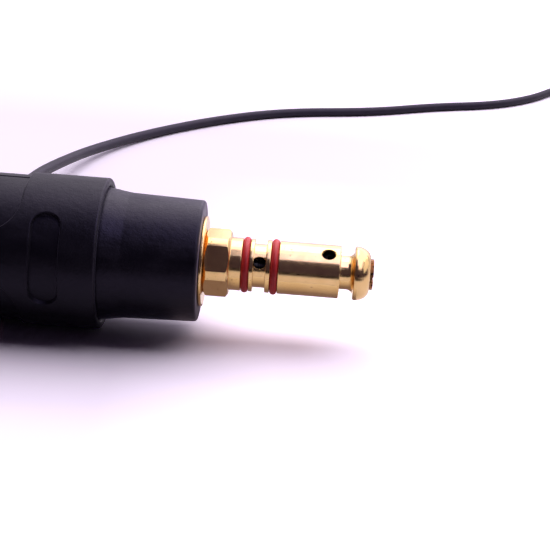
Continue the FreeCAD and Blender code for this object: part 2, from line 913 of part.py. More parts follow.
plug_axis_z = floor_z + plug_axis_height
plug_rear = V(coil_centre.x + coil_outer_radius, 458, plug_axis_z)
PLUG_WAY = V(0, -1, 0)


def make_lead_tail(start):
    """From the coil's last turn to the control plug."""
    points = [start, V(start.x, 483, start.z), V(start.x, 470, plug_axis_z), plug_rear]
    return tube_along(rounded_path(points, "trigger_lead_tail"), lead_radius, "trigger_lead_tail")


def make_lead_inner_end():
    """The jacketed stretch inside the strain relief and the housing."""
    return rod(lead_radius, V(x_outlet, jacket_end_reach, 0), V(0, 1, 0),
               relief_tip_reach - jacket_end_reach)


def splice_place(side):
    """Front end of a splice, beside the way that the cable takes through the housing."""
    return V(x_outlet - splice_from_outlet, splice_reach, side * splice_spread / 2)


def make_signal_wires():
    """Two cores of the lead, from the jacket's end back to their splices."""
    wires = []
    for side in (-1, 1):
        splice = splice_place(side)
        height = side * core_spread / 2
        points = [
            V(x_outlet, jacket_end_reach, height),
            V(x_outlet, splice_reach + 1, height),
            V(x_outlet - 2, splice_reach, splice.z),
            splice,
        ]
        wires.append(tube_along(rounded_path(points, "signal wire"), wire_radius, "signal wire"))
    return Part.makeCompound(wires)


def make_wire_splices():
    splices = []
    for side in (-1, 1):
        start = splice_place(side) - AXIS * splice_length
        barrel = rod(splice_radius, start, AXIS, splice_length)
        crimp = tube(splice_radius + 0.5, splice_radius - 0.3, start.x + splice_length / 2 - 1,
                     start.x + splice_length / 2 + 1)
        crimp.translate(V(0, start.y, start.z))
        splices.append(barrel.cut(crimp))
    return Part.makeCompound(splices)


def make_lead_tie():
    """Strap round the coil's far side; the coil rests on it."""
    slack = tie_slack
    inner = coil_inner_radius - lead_radius - slack
    outer = coil_outer_radius - coil_turn_step / 4 + lead_radius + 2 * slack
    low = coil_base - lead_radius - slack / 2
    high = coil_top + lead_radius + slack
    t = tie_thickness
    start = V(coil_centre.x - tie_width / 2, coil_centre.y + inner - t, low - t)
    block = Part.makeBox(tie_width, outer - inner + 2 * t, high - low + 2 * t, start)
    room = Part.makeBox(tie_width + 2, outer - inner, high - low,
                        start + V(-1, t, t))
    long_edges = [edge for edge in block.Edges
                  if abs(edge.tangentAt(edge.FirstParameter).x) > 0.99]
    block = block.makeFillet(1.5, long_edges)
    return block.cut(room)


def on_plug(profile):
    return turned(profile, plug_rear, PLUG_WAY)


plug_body_start = plug_tail_length + plug_shoulder_length
plug_journal_start = plug_body_start + plug_body_length
plug_mouth = plug_journal_start + plug_skirt_length
insert_face = plug_mouth - insert_from_mouth
skirt_bore_radius = plug_journal_radius - plug_skirt_wall


def make_plug_shell():
    """Moulded body of the control plug, with the journal that its coupling ring turns on."""
    bore = lead_radius + seat_clearance
    cavity = plug_journal_radius - plug_cavity_wall
    shell = on_plug([
        (0, bore),
        (plug_tail_length, bore),
        (plug_body_start + 2, cavity),
        (insert_face - insert_length, cavity),
        (insert_face - insert_length, skirt_bore_radius),
        (plug_mouth, skirt_bore_radius),
        (plug_mouth, plug_journal_radius - 0.3),
        (plug_mouth - 0.3, plug_journal_radius),
        (plug_journal_start, plug_journal_radius),
        (plug_journal_start, plug_body_radius - 0.6),
        (plug_journal_start - 0.6, plug_body_radius),
        (plug_body_start, plug_body_radius),
        (plug_tail_length, plug_tail_radius),
        (0, plug_tail_radius),
    ])
    flat = clamp_room(clamp_width + 0.4, plug_tail_radius - clamp_thickness)
    holes = clamp_screw_rods(clamp_screw_radius + seat_clearance, -plug_tail_radius,
                             2 * plug_tail_radius)
    return shell.cut([flat] + holes)


def clamp_room(width, low):
    """The space above the plug's tail where the clamp bar sits."""
    return Part.makeBox(4 * plug_tail_radius, width, 2 * plug_tail_radius,
                        V(plug_rear.x - 2 * plug_tail_radius,
                          plug_rear.y - plug_tail_length / 2 - width / 2,
                          plug_rear.z + low))


def clamp_screw_rods(radius, low, length):
    rods = []
    for side in (-1, 1):
        start = plug_rear + V(side * clamp_screw_offset, -plug_tail_length / 2, low)
        rods.append(rod(radius, start, V(0, 0, 1), length))
    return rods


def make_plug_clamp_bar():
    low = plug_tail_radius - clamp_thickness + seat_clearance
    half = clamp_screw_offset + clamp_screw_radius + 1.2
    start = plug_rear + V(-half, -plug_tail_length / 2 - clamp_width / 2, low)
    bar = Part.makeBox(2 * half, clamp_width, clamp_thickness, start)
    upright = [edge for edge in bar.Edges if abs(edge.tangentAt(edge.FirstParameter).z) > 0.99]
    bar = bar.makeFillet(1.5, upright)
    return bar.cut(clamp_screw_rods(clamp_screw_radius + seat_clearance, low - 1,
                                    clamp_thickness + 3))


def make_plug_clamp_screws():
    seat = plug_tail_radius + 2 * seat_clearance
    heads = clamp_screw_rods(2 * clamp_screw_radius, seat, 1.4)
    shanks = clamp_screw_rods(clamp_screw_radius, 0, seat + 0.1)
    screws = []
    for head, shank in zip(heads, shanks):
        top = head.BoundBox
        slot = Part.makeBox(5 * clamp_screw_radius, 0.6, 0.8,
                            V(top.Center.x - 2.5 * clamp_screw_radius, top.Center.y - 0.3,
                              top.ZMax - 0.8))
        screws.append(head.fuse(shank).cut(slot))
    return Part.makeCompound(screws)


def make_plug_insert():
    return on_plug([
        (insert_face - insert_length + seat_clearance, 0),
        (insert_face, 0),
        (insert_face, skirt_bore_radius - seat_clearance),
        (insert_face - insert_length + seat_clearance, skirt_bore_radius - seat_clearance),
    ]).cut(contact_rods(contact_radius + seat_clearance, insert_face - insert_length - 1,
                        insert_length + 2))


def contact_rods(radius, start, length):
    rods = []
    for n in range(contact_count):
        turn = radians(45 + 360 * n / contact_count)
        place = V(contact_circle_radius * cos(turn), 0, contact_circle_radius * sin(turn))
        rods.append(rod(radius, plug_rear + PLUG_WAY * start + place, PLUG_WAY, length))
    return rods


def make_plug_contacts():
    start = insert_face - insert_length + 1
    return Part.makeCompound(contact_rods(contact_radius, start, plug_mouth - 1 - start))


def make_plug_coupling_ring():
    """Ribbed ring that turns on the plug's journal and screws onto the socket."""
    bore = plug_journal_radius + running_clearance
    room = coupling_radius - coupling_rib_radius - coupling_wall
    start = plug_journal_start + 0.3
    barrel = coupling_radius - coupling_rib_radius
    ring = on_plug([
        (start, bore),
        (start + coupling_web, bore),
        (start + coupling_web, room),
        (plug_mouth + 1, room),
        (plug_mouth + 1, barrel - 0.5),
        (plug_mouth + 0.5, barrel),
        (start + 0.5, barrel),
        (start, barrel - 0.5),
    ])
    ribs = []
    for n in range(coupling_ribs):
        turn = radians(-90 + 360 * n / coupling_ribs)
        place = V(barrel * cos(turn), 0, barrel * sin(turn))
        ribs.append(rod(coupling_rib_radius, plug_rear + PLUG_WAY * (start + 1.5) + place,
                        PLUG_WAY, plug_mouth - start - 3))
    return ring.fuse(ribs)


def main():
    near_shell, far_shell = make_shells()
    coil, coil_start, coil_end = make_coil()
    nodes = {
        "power_pin": make_power_pin(),
        "front_o_ring": make_o_ring(x_front_groove),
        "rear_o_ring": make_o_ring(x_rear_groove),
        "liner_nut": make_liner_nut(),
        "liner_grub_screw": make_grub_screw(),
        "wire_liner": make_wire_liner(),
        "connector_block": make_connector_block(),
        "cable_cone": make_cable_cone(),
        "cable_cone_nut": make_cable_cone_nut(),
        "nose_boot": make_nose_boot(),
        "near_shell": near_shell,
        "far_shell": far_shell,
        "locking_ring": make_locking_ring(),
        "shell_screws": make_shell_screws(),
        "inlet_bushing": make_inlet_bushing(),
        "lead_grommet": make_lead_grommet(),
        "lead_inner_end": make_lead_inner_end(),
        "signal_wires": make_signal_wires(),
        "wire_splices": make_wire_splices(),
        "trigger_lead": make_lead(coil_start),
        "trigger_lead_coil": coil,
        "trigger_lead_tail": make_lead_tail(coil_end),
        "lead_tie": make_lead_tie(),
        "plug_shell": make_plug_shell(),
        "plug_insert": make_plug_insert(),
        "plug_contacts": make_plug_contacts(),
        "plug_coupling_ring": make_plug_coupling_ring(),
        "plug_clamp_bar": make_plug_clamp_bar(),
        "plug_clamp_screws": make_plug_clamp_screws(),
    }
    os.makedirs("parts", exist_ok=True)
    for name, shape in nodes.items():
        print(name, "solids", len(shape.Solids), "volume", round(shape.Volume, 1),
              "valid", shape.isValid())
        shape.exportStep("parts/" + name + ".step")


main()
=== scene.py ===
# %% [markdown]
# # The machine end of a welding torch
#
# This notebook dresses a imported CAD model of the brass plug, black housing and thin lead that
# join a welding torch to its wire feeder. The CAD parts give every place and length. Each
# piece made here takes the place of one of them, with the rounded edges and the surface that
# the real piece has. The first cell loads the CAD parts, because all the rest is built on them.

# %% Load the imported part
from math import asin, cos, degrees, hypot, pi, radians, sin, sqrt

import bmesh
import bpy
from mathutils import Matrix, Vector
from mathutils.geometry import delaunay_2d_cdt


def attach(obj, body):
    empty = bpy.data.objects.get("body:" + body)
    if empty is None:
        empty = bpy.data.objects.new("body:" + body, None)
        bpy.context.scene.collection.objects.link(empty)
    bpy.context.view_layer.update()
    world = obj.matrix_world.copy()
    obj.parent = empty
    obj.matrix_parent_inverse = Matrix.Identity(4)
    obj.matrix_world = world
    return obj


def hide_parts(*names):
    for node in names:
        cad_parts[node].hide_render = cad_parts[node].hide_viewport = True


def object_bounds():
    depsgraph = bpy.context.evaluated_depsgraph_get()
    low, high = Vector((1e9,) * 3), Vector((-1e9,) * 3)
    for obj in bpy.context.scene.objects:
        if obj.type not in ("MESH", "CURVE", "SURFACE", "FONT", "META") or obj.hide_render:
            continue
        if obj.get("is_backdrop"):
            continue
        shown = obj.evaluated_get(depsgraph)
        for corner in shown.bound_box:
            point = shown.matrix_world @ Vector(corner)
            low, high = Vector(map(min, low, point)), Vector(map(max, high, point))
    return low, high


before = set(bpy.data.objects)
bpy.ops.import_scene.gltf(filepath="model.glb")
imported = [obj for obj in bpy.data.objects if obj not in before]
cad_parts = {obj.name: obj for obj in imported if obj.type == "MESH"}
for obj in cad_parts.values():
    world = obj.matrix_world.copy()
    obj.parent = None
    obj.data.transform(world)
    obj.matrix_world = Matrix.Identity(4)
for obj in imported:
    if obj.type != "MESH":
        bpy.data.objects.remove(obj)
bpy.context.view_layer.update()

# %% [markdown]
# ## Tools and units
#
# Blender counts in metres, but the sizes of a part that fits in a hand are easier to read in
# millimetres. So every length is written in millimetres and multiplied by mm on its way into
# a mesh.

scene = bpy.context.scene
mm = 0.001
X, Y, Z = Vector((1, 0, 0)), Vector((0, 1, 0)), Vector((0, 0, 1))

# %% [markdown]
# ## Camera
#
# The photograph looks down on the plug by about 20 degrees from half a metre away, with a long
# lens, and the camera leans a little, so the plug's axis falls to the right. The camera is
# aimed from those angles, because a tracking constraint can't lean it.

# %% Camera
aim, distance = Vector((-1.05, 0, -2.9)) * mm, 458 * mm
elevation, yaw, lean = radians(20), radians(1.3), radians(4.15)
forward = Vector((-sin(yaw) * cos(elevation), cos(yaw) * cos(elevation), -sin(elevation)))
level = forward.cross(Z).normalized()
upright = level.cross(forward)
right = level * cos(lean) + upright * sin(lean)
top = upright * cos(lean) - level * sin(lean)
camera_data = bpy.data.cameras.new("camera")
camera_data.sensor_width, camera_data.lens = 36, 88.62
camera = bpy.data.objects.new("camera", camera_data)
scene.collection.objects.link(camera)
camera.matrix_world = (Matrix.Translation(aim - forward * distance)
                       @ Matrix((right, top, -forward)).transposed().to_4x4())
scene.camera = camera
scene.view_settings.view_transform = "Standard"
print("camera at", [round(v / mm, 1) for v in camera.location])

# %% [markdown]
# ## Colours, nodes and finishes
#
# Colours are written as sRGB hex, as a picture editor shows them, and one function turns them
# into the linear values that the renderer works in. Another small function adds a node with
# its settings and its links, so that a material reads as a list of what happens to the
# surface. A third starts a material and sets what is the same all over it on the shader.

# %% Colour, node and finish helpers
def colour(code):
    """An sRGB hex colour as linear red, green, blue and alpha."""
    values = []
    for start in (0, 2, 4):
        part = int(code[start:start + 2], 16) / 255
        values.append(part / 12.92 if part <= 0.04045 else ((part + 0.055) / 1.055) ** 2.4)
    return (*values, 1.0)


def add(tree, kind, inputs=None, stops=(), feeds=None, **settings):
    """A new node. Inputs map a socket to a value or to the output that feeds it, feeds map an
    output to the socket that it feeds, and stops are a colour ramp's (position, colour)."""
    node = tree.nodes.new(kind)
    for name, value in settings.items():
        setattr(node, name, value)
    for key, value in (inputs or {}).items():
        if isinstance(value, bpy.types.NodeSocket):
            tree.links.new(value, node.inputs[key])
        else:
            node.inputs[key].default_value = value
    if stops:
        elements = node.color_ramp.elements
        while len(elements) < len(stops):
            elements.new(1)
        for element, (position, value) in zip(elements, stops):
            element.position = position
            element.color = colour(value) if isinstance(value, str) else value
    for key, socket in (feeds or {}).items():
        tree.links.new(node.outputs[key], socket)
    return node


def new_finish(name, **values):
    """A material and its main shader, with constant values set on the shader's sockets."""
    material = bpy.data.materials.new(name)
    material.use_nodes = True
    shader = material.node_tree.nodes["Principled BSDF"]
    for key, value in values.items():
        shader.inputs[key.replace("_", " ")].default_value = value
    return material, material.node_tree, shader


print("gold as linear values:", [round(v, 3) for v in colour("D4AF68")[:3]])

# %% [markdown]
# ## Table
#
# The torch lies on a white laminate table that is burnt out to plain white, except where the
# torch and the lead shade it. One brightness can't give both, and more light on the table
# would also bleach the torch. So the brightness that the camera sees follows the place on the
# table, by what the photograph shows there, with a shadow that stays slightly violet. What
# the table throws back on the torch, and what glossy surfaces see in it, stay plain colours.

# %% Sheets of the stage
floor_height, table_reach = -25.5, 60000


def flat_sheet(name, corners, material):
    """A flat sheet of the stage from its corners."""
    mesh = bpy.data.meshes.new(name)
    mesh.from_pydata([Vector(c) * mm for c in corners], [], [range(len(corners))])
    sheet = bpy.data.objects.new(name, mesh)
    sheet.data.materials.append(material)
    scene.collection.objects.link(sheet)
    sheet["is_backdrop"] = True
    return sheet


def rectangle(x_low, x_high, near, far):
    """Corners of a sheet from its ends along X and the (y, z) of its near and far edges."""
    return [(x_low, *near), (x_high, *near), (x_high, *far), (x_low, *far)]


print("the table lies", -floor_height, "mm below the axis")

# %% Table
brightest, furthest = 3.4, 1.2
# How bright the camera sees the table in front of the axis (-) and behind it, in metres from it;
# below 1, near the housing, it is painted shade that deepens the housing's shadow.
brightness = [(-1.2, 3.4), (-0.15, 1.5), (-0.082, 1.27), (-0.066, 1.1), (-0.05, 1.0),
              (-0.034, 0.85), (0.0, 0.97), (0.28, 1.0), (0.35, 1.2), (0.52, 1.5), (0.75, 2.1),
              (1.2, 3.4)]
side_rise, painted_plug_light, violet_white = 1.2, 0.13, (1.09, 1.0, 1.17)
laminate, tree, _ = new_finish("white_table_laminate")
spot = add(tree, "ShaderNodeTexCoord").outputs["Object"]
spot_x, spot_y = add(tree, "ShaderNodeSeparateXYZ", {"Vector": spot}).outputs[:2]
share = add(tree, "ShaderNodeMapRange", {"Value": spot_y, "From Min": -furthest,
                                         "From Max": furthest}).outputs[0]
by_depth = add(tree, "ShaderNodeValToRGB", {"Fac": share}, stops=[
    ((place + furthest) / (2 * furthest), (value / brightest,) * 3 + (1,))
    for place, value in brightness]).outputs["Color"]
# It rises to both sides with the distance squared, and a little beside the plug, where painted
# light lightens the plug's shadow.
squared = add(tree, "ShaderNodeMath", {0: spot_x, 1: spot_x}, operation="MULTIPLY").outputs[0]
to_sides = add(tree, "ShaderNodeMath", {0: squared, 1: side_rise},
               operation="MULTIPLY").outputs[0]
plug_half = add(tree, "ShaderNodeMapRange", {"Value": spot_x, "From Min": -0.05,
                                             "From Max": 0.0}).outputs[0]
near_half = add(tree, "ShaderNodeMapRange", {"Value": spot_y, "From Min": 0.2,
                                             "From Max": 0.08}).outputs[0]
by_plug = add(tree, "ShaderNodeMath", {0: plug_half, 1: near_half},
              operation="MULTIPLY").outputs[0]
across = add(tree, "ShaderNodeMath", {0: by_plug, 1: painted_plug_light, 2: to_sides},
             operation="MULTIPLY_ADD").outputs[0]
whole = add(tree, "ShaderNodeMath", {0: by_depth, 1: across}, operation="ADD").outputs[0]
scaled = add(tree, "ShaderNodeMath", {0: whole, 1: brightest}, operation="MULTIPLY").outputs[0]
white = add(tree, "ShaderNodeVectorMath", {0: violet_white, "Scale": scaled},
            operation="SCALE").outputs[0]
ray = add(tree, "ShaderNodeLightPath")
bounced = add(tree, "ShaderNodeMix", {0: ray.outputs["Is Glossy Ray"], 6: colour("938D9A"),
                                      7: (1.0, 0.96, 1.04, 1)}, data_type="RGBA").outputs[2]
seen = add(tree, "ShaderNodeMix", {0: ray.outputs["Is Camera Ray"], 6: bounced, 7: white},
           data_type="RGBA").outputs[2]
add(tree, "ShaderNodeBsdfDiffuse", {"Color": seen},
    feeds={0: tree.nodes["Material Output"].inputs["Surface"]})
flat_sheet("table", rectangle(-table_reach, table_reach, (-table_reach, floor_height),
                              (table_reach, floor_height)), laminate)
print("table brightness from", min(v for _, v in brightness), "to", brightest)

# %% [markdown]
# ## Room
#
# Polished brass is a mirror, so the plug tells what stood round it: a pale room behind and
# above, and a dark one on the camera's side. The dark side also lets the shadow under the
# housing stay deep. Matt surfaces get the room's light only from well above the table, glossy
# ones mirror it down to the table's edge, and the camera itself sees plain white.

# %% Room
world = bpy.data.worlds.new("pale_room")
scene.world = world
world.use_nodes = True
room = world.node_tree
pale_side, dark_level, pale_level, edge_glow = radians(86), 0.012, 0.9, 0.06
towards = add(room, "ShaderNodeTexCoord").outputs["Generated"]
behind = add(room, "ShaderNodeVectorMath",
             {0: towards, 1: (0, sin(pale_side), cos(pale_side))},
             operation="DOT_PRODUCT").outputs["Value"]
lit = add(room, "ShaderNodeMapRange", {"Value": behind, "From Min": -0.1, "From Max": 0.15,
                                       "To Min": dark_level,
                                       "To Max": pale_level}).outputs[0]
height = add(room, "ShaderNodeSeparateXYZ", {"Vector": towards}).outputs["Z"]
high = add(room, "ShaderNodeMapRange", {"Value": height, "From Min": 0.12,
                                        "From Max": 0.3}).outputs[0]
ray = add(room, "ShaderNodeLightPath")
glossy, looked_at = ray.outputs["Is Glossy Ray"], ray.outputs["Is Camera Ray"]
shown = add(room, "ShaderNodeMath", {0: high, 1: glossy}, operation="MAXIMUM").outputs[0]
shining = add(room, "ShaderNodeMath", {0: lit, 1: shown}, operation="MULTIPLY").outputs[0]
mirrored = add(room, "ShaderNodeMath", {0: glossy, 1: edge_glow, 2: shining},
               operation="MULTIPLY_ADD").outputs[0]
walls = add(room, "ShaderNodeMix", {0: lit, 6: colour("E6C4FF"), 7: colour("F8F2FA")},
            data_type="RGBA").outputs[2]
backdrop = room.nodes["Background"]
add(room, "ShaderNodeMix", {0: looked_at, 6: walls, 7: (1, 1, 1, 1)}, data_type="RGBA",
    feeds={2: backdrop.inputs["Color"]})
add(room, "ShaderNodeMath", {0: mirrored, 1: looked_at}, operation="MAXIMUM",
    feeds={0: backdrop.inputs["Strength"]})
print("room nodes:", len(room.nodes))

# %% [markdown]
# ## Soft box
#
# One large soft box hangs above and behind, so the shadows are soft and fall towards the
# camera. An area lamp is that box. A sun or a small lamp would give the shadow a hard edge.

# %% Soft box
lamp = bpy.data.lights.new("soft_box", "AREA")
lamp.shape = "RECTANGLE"
lamp.size, lamp.size_y = 870 * mm, 553 * mm
lamp.energy = 2.9
lamp.color = colour("FFFBFC")[:3]
soft_box = bpy.data.objects.new("soft_box", lamp)
scene.collection.objects.link(soft_box)
box_place, box_aim = Vector((215, 195, 482)), Vector((215, 0, 0))
beam = (box_aim - box_place).normalized()
soft_box.matrix_world = (Matrix.Translation(box_place * mm)
                         @ beam.to_track_quat("-Z", "Y").to_matrix().to_4x4())
soft_box.visible_camera = False
print("soft box", round(box_place.length), "mm from the plug")

# %% [markdown]
# ## Cards
#
# Metal is lit by what it mirrors, so photographers stand white and black cards round it. The
# bands on the plug give each card's place: a white one above the camera's side for the pale
# band along the barrel, a brighter one behind for its edge of light, panels for the bright
# back, and a black one on the table for the dark band. The shaded card on the table stands
# for the shadow that the brass sees below itself. Only glossy surfaces see the cards, so they
# change nothing else.

# %% Cards
black_card = new_finish("black_card", Base_Color=colour("141214"), Roughness=0.9,
                        Specular_IOR_Level=0)[0]
shaded_card, tree, shader = new_finish("shaded_card", Base_Color=colour("000000"),
                                       Emission_Strength=1, Specular_IOR_Level=0)
spot = add(tree, "ShaderNodeTexCoord").outputs["Object"]
card_x, card_y = add(tree, "ShaderNodeSeparateXYZ", {"Vector": spot}).outputs[:2]
# Under the hexagon the shade reaches 15 mm further forward, because the boot adds its own.
by_hexagon = add(tree, "ShaderNodeMapRange", {"Value": card_x, "From Min": -0.0185,
                                              "From Max": -0.0155, "To Min": 0.015,
                                              "To Max": 0}).outputs[0]
moved = add(tree, "ShaderNodeMath", {0: card_y, 1: by_hexagon}, operation="ADD").outputs[0]
share = add(tree, "ShaderNodeMapRange", {"Value": moved, "From Min": -0.034,
                                         "From Max": -0.002}).outputs[0]
add(tree, "ShaderNodeValToRGB", {"Fac": share},
    stops=[(0, "F8EFF8"), (0.5, "DCCDCF"), (1, "8E7C83")],
    feeds={"Color": shader.inputs["Emission Color"]})


def glowing(name, strength, code="FFF9FA"):
    """The finish of a card that shines with this strength."""
    return new_finish(name, Emission_Strength=strength, Emission_Color=colour(code))[0]


card_height, shade_height = floor_height + 0.5, floor_height + 0.6
cards = [
    ("card_on_table", black_card,
     rectangle(-9000, 220, (-9000, card_height), (-120, card_height))),
    ("shaded_card_on_table", shaded_card,
     rectangle(-34, 29, (-34, shade_height), (24, shade_height))),
    ("reflector", glowing("bright_reflector", 2.8, "D2CEFF"),
     rectangle(-30, 100, (-285, 390), (20, 475))),
    ("side_reflector", glowing("side_reflector_card", 2.6, "E0DAF6"),
     rectangle(100, 330, (-420, 340), (20, 475))),
    ("highlight_card", glowing("highlight_card", 4.8),
     rectangle(-40, 75, (75, 505), (420, 366))),
    ("back_panel", glowing("back_light_panel", 1.4, "F2E2FF"),
     rectangle(-50, 500, (520, 40), (520, 230))),
    ("high_panel", glowing("high_light_panel", 2.5, "F6ECFF"),
     rectangle(-60, 500, (520, 230), (520, 430))),
    ("side_panel", glowing("side_light_panel", 0.7),
     [(420, -300, 130), (420, 200, 130), (420, 200, 420), (420, -300, 420)]),
]
for name, finish, corners in cards:
    card = flat_sheet(name, corners, finish)
    card.visible_camera = card.visible_diffuse = card.visible_shadow = False
    card.visible_transmission = card.visible_volume_scatter = False
print("cards:", ", ".join(name for name, _, _ in cards))

# %% [markdown]
# ## Sizes
#
# X runs along the plug, out of its nose, and the origin is on the axis at the barrel's rear
# edge. The places along X are those of the CAD parts. The radii of the plug and the housing
# were measured on the photograph once more after the CAD was packed, and are up to half a
# millimetre larger than there.

# %% Sizes along and across the plug and housing
barrel_radius, barrel_length = 8.95, 20.65
groove_radius, gallery_radius = 6.88, 7.4
x_front_groove, x_gallery_front, x_gallery_rear = -2.7, -4.25, -8.35
x_rear_groove_front, x_rear_groove = -9.7, -12.4
x_hex_front, x_hex_rear, hex_radius, hex_flats = -16.25, -24.85, 11.5, 21.3
x_nose, x_nose_end, nose_radius, neck_radius = 25.35, 30.95, 8.9, 5.7
plug_bore, shank_radius, nut_thread_radius = 3.4, 7.0, 4.0
x_boot_end, x_ring_front, x_ring_band = -26.05, -58.15, -84.2
x_neck_front, x_step, x_shell_rear = -59.75, -84.5, -167.75
ring_radius, shell_radius, lobe_angle = 25.5, 24.5, 10.4
x_outlet = -113.05
print("from nose to housing's rear:", round(x_nose_end - x_shell_rear, 1), "mm")

# %% [markdown]
# ## Profiles and turned pieces
#
# Most of the plug is made on a lathe, so most pieces are a profile turned about an axis. Real
# edges are never sharp: each corner of a profile has its own small rounding, which catches the
# light. The profile is a closed loop, so a turned piece is a closed ring with no caps.

# %% Helpers for turned pieces
merge_within = 0.002


def radial(angle):
    """Unit vector at right angles to the main axis; 0 is the near side, 90 is up."""
    return Vector((0, -cos(radians(angle)), sin(radians(angle))))


def softened(corners, steps=6):
    """Profile points from (along, radius, rounding) corners."""
    points = []
    for n, (along, radius, rounding) in enumerate(corners):
        here = Vector((along, radius))
        back = Vector(corners[n - 1][:2]) - here
        ahead = Vector(corners[(n + 1) % len(corners)][:2]) - here
        if rounding == 0:
            points.append(tuple(here))
            continue
        reach = min(rounding, 0.48 * back.length, 0.48 * ahead.length)
        first, last = here + back.normalized() * reach, here + ahead.normalized() * reach
        for k in range(steps + 1):
            t = k / steps
            points.append(tuple(first * (1 - t) ** 2 + here * 2 * t * (1 - t) + last * t * t))
    return points


def new_piece(name, vertices, faces, material):
    """A closed piece from vertices in millimetres, doubles merged and faces pointing out."""
    mesh = bpy.data.meshes.new(name)
    mesh.from_pydata([Vector(v) * mm for v in vertices], [], faces)
    work = bmesh.new()
    work.from_mesh(mesh)
    bmesh.ops.remove_doubles(work, verts=work.verts, dist=merge_within * mm)
    bmesh.ops.dissolve_degenerate(work, edges=work.edges, dist=0.0005 * mm)
    bmesh.ops.recalc_face_normals(work, faces=work.faces)
    work.to_mesh(mesh)
    work.free()
    piece = bpy.data.objects.new(name, mesh)
    piece.data.materials.append(material)
    scene.collection.objects.link(piece)
    return piece


def turned(name, profile, material, start=(0, 0, 0), way=X, turns=144, phase=0):
    """A closed ring of (along, radius) points turned about an axis."""
    up = Z if abs(way.z) < 1e-6 else way.orthogonal().normalized()
    side = way.cross(up)
    count = len(profile)
    vertices, faces = [], []
    for n in range(turns):
        angle = 2 * pi * n / turns + radians(phase)
        out = side * cos(angle) + up * sin(angle)
        vertices += [Vector(start) + way * along + out * radius for along, radius in profile]
        after = (n + 1) % turns
        for k in range(count):
            j = (k + 1) % count
            faces.append((n * count + k, n * count + j, after * count + j, after * count + k))
    return new_piece(name, vertices, faces, material)


print("a rounded square has", len(softened([(0, 0, 1), (4, 0, 1), (4, 4, 1), (0, 4, 1)])),
      "points")

# %% [markdown]
# ## Cuts
#
# Holes and flats are cut with booleans, because they cross the turned shapes at odd angles.
# A boolean can leave doubled corners, so each cut is mended.

# %% Helpers for cuts
def peg(radius, start, way, length, material, turns=48):
    """A plain round bar, as a cutter."""
    profile = [(0, 0), (length, 0), (length, radius), (0, radius)]
    return turned("cutter", profile, material, start, way, turns)


def settle(piece):
    """Turn the piece's modifiers into plain mesh."""
    evaluated = piece.evaluated_get(bpy.context.evaluated_depsgraph_get())
    mesh = bpy.data.meshes.new_from_object(evaluated)
    piece.modifiers.clear()
    piece.data = mesh


def mend(piece):
    """Merge doubled corners, close a face that a cut dropped, and delete bare edges."""
    work = bmesh.new()
    work.from_mesh(piece.data)
    bmesh.ops.remove_doubles(work, verts=work.verts, dist=merge_within * mm)
    bare = [edge for edge in work.edges if not edge.link_faces]
    bmesh.ops.delete(work, geom=bare, context="EDGES")
    rim = [edge for edge in work.edges if len(edge.link_faces) == 1]
    bmesh.ops.holes_fill(work, edges=rim, sides=6)
    work.to_mesh(piece.data)
    work.free()


def cut(piece, *cutters, operation="DIFFERENCE"):
    """Cut the cutters out of the piece, or join them to it, and remove them."""
    for cutter in cutters:
        tool = piece.modifiers.new("cut", "BOOLEAN")
        tool.operation = operation
        tool.solver = "EXACT"
        tool.material_mode = "TRANSFER"
        tool.object = cutter
    settle(piece)
    mend(piece)
    for cutter in cutters:
        bpy.data.objects.remove(cutter)


print("corners closer than", merge_within, "mm are merged")

# %% [markdown]
# ## Edges and places
#
# What a cut leaves sharp gets a fine bevel, and weighted normals keep the flats flat beside
# it. A finished piece then hides the CAD nodes that it stands for, goes on the body that it
# moves with, and its mesh is checked for open edges.

# %% Helpers for edges and places
def break_edges(piece, width, limit=38):
    """A fine bevel on what is still sharp, and smooth shading that keeps flats flat."""
    mesh = piece.data
    mesh.polygons.foreach_set("use_smooth", [True] * len(mesh.polygons))
    if width:
        bevel = piece.modifiers.new("edge_break", "BEVEL")
        bevel.limit_method = "ANGLE"
        bevel.angle_limit = radians(limit)
        bevel.width = width * mm
        bevel.segments = 2
        bevel.use_clamp_overlap = True
    else:
        mesh.set_sharp_from_angle(angle=radians(limit))
    even = piece.modifiers.new("even_shading", "WEIGHTED_NORMAL")
    even.keep_sharp = True
    even.weight = 60


def report(piece):
    """Print the finished piece's triangles, and its open edges, which should be none."""
    mesh = piece.evaluated_get(bpy.context.evaluated_depsgraph_get()).to_mesh()
    work = bmesh.new()
    work.from_mesh(mesh)
    open_edges = sum(1 for edge in work.edges if len(edge.link_faces) != 2)
    triangles = sum(len(face.verts) - 2 for face in work.faces)
    work.free()
    print(piece.name, "triangles", triangles, "open edges", open_edges)


def place(piece, body, slot, *nodes):
    """The piece stands for these CAD nodes and rides on their body."""
    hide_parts(*nodes)
    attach(piece, body)
    report(piece)


# %% [markdown]
# ## Lead jacket
#
# The trigger lead is a thin round cable in a soft PVC jacket. The jacket is extruded, so its
# skin is matt and faintly grained, dark grey with a violet cast under this light. Its grain
# is noise and bump on Object coordinates, which needs no unwrapping on a long thin tube.

# %% PVC jacket
def grain(tree, size, detail=2.0, stretch=(1, 1, 1)):
    """Noise whose features are about this many millimetres across."""
    spot = add(tree, "ShaderNodeTexCoord").outputs["Object"]
    moved = add(tree, "ShaderNodeMapping", {"Vector": spot, "Scale": stretch}).outputs[0]
    return add(tree, "ShaderNodeTexNoise", {"Vector": moved, "Scale": 1 / (size * mm),
                                            "Detail": detail}).outputs["Fac"]


# The violet tint of its reflections is painted: it stands for the violet cast of the light.
jacket, tree, shader = new_finish("extruded_pvc", IOR=1.53, Roughness=0.5,
                                  Specular_IOR_Level=0.32, Specular_Tint=colour("E2D0FF"))
# Patches of wear are a little longer than the lead is thick.
add(tree, "ShaderNodeValToRGB", {"Fac": grain(tree, 6.0)},
    stops=[(0.3, "1E1B22"), (0.7, "28252E")], feeds={"Color": shader.inputs["Base Color"]})
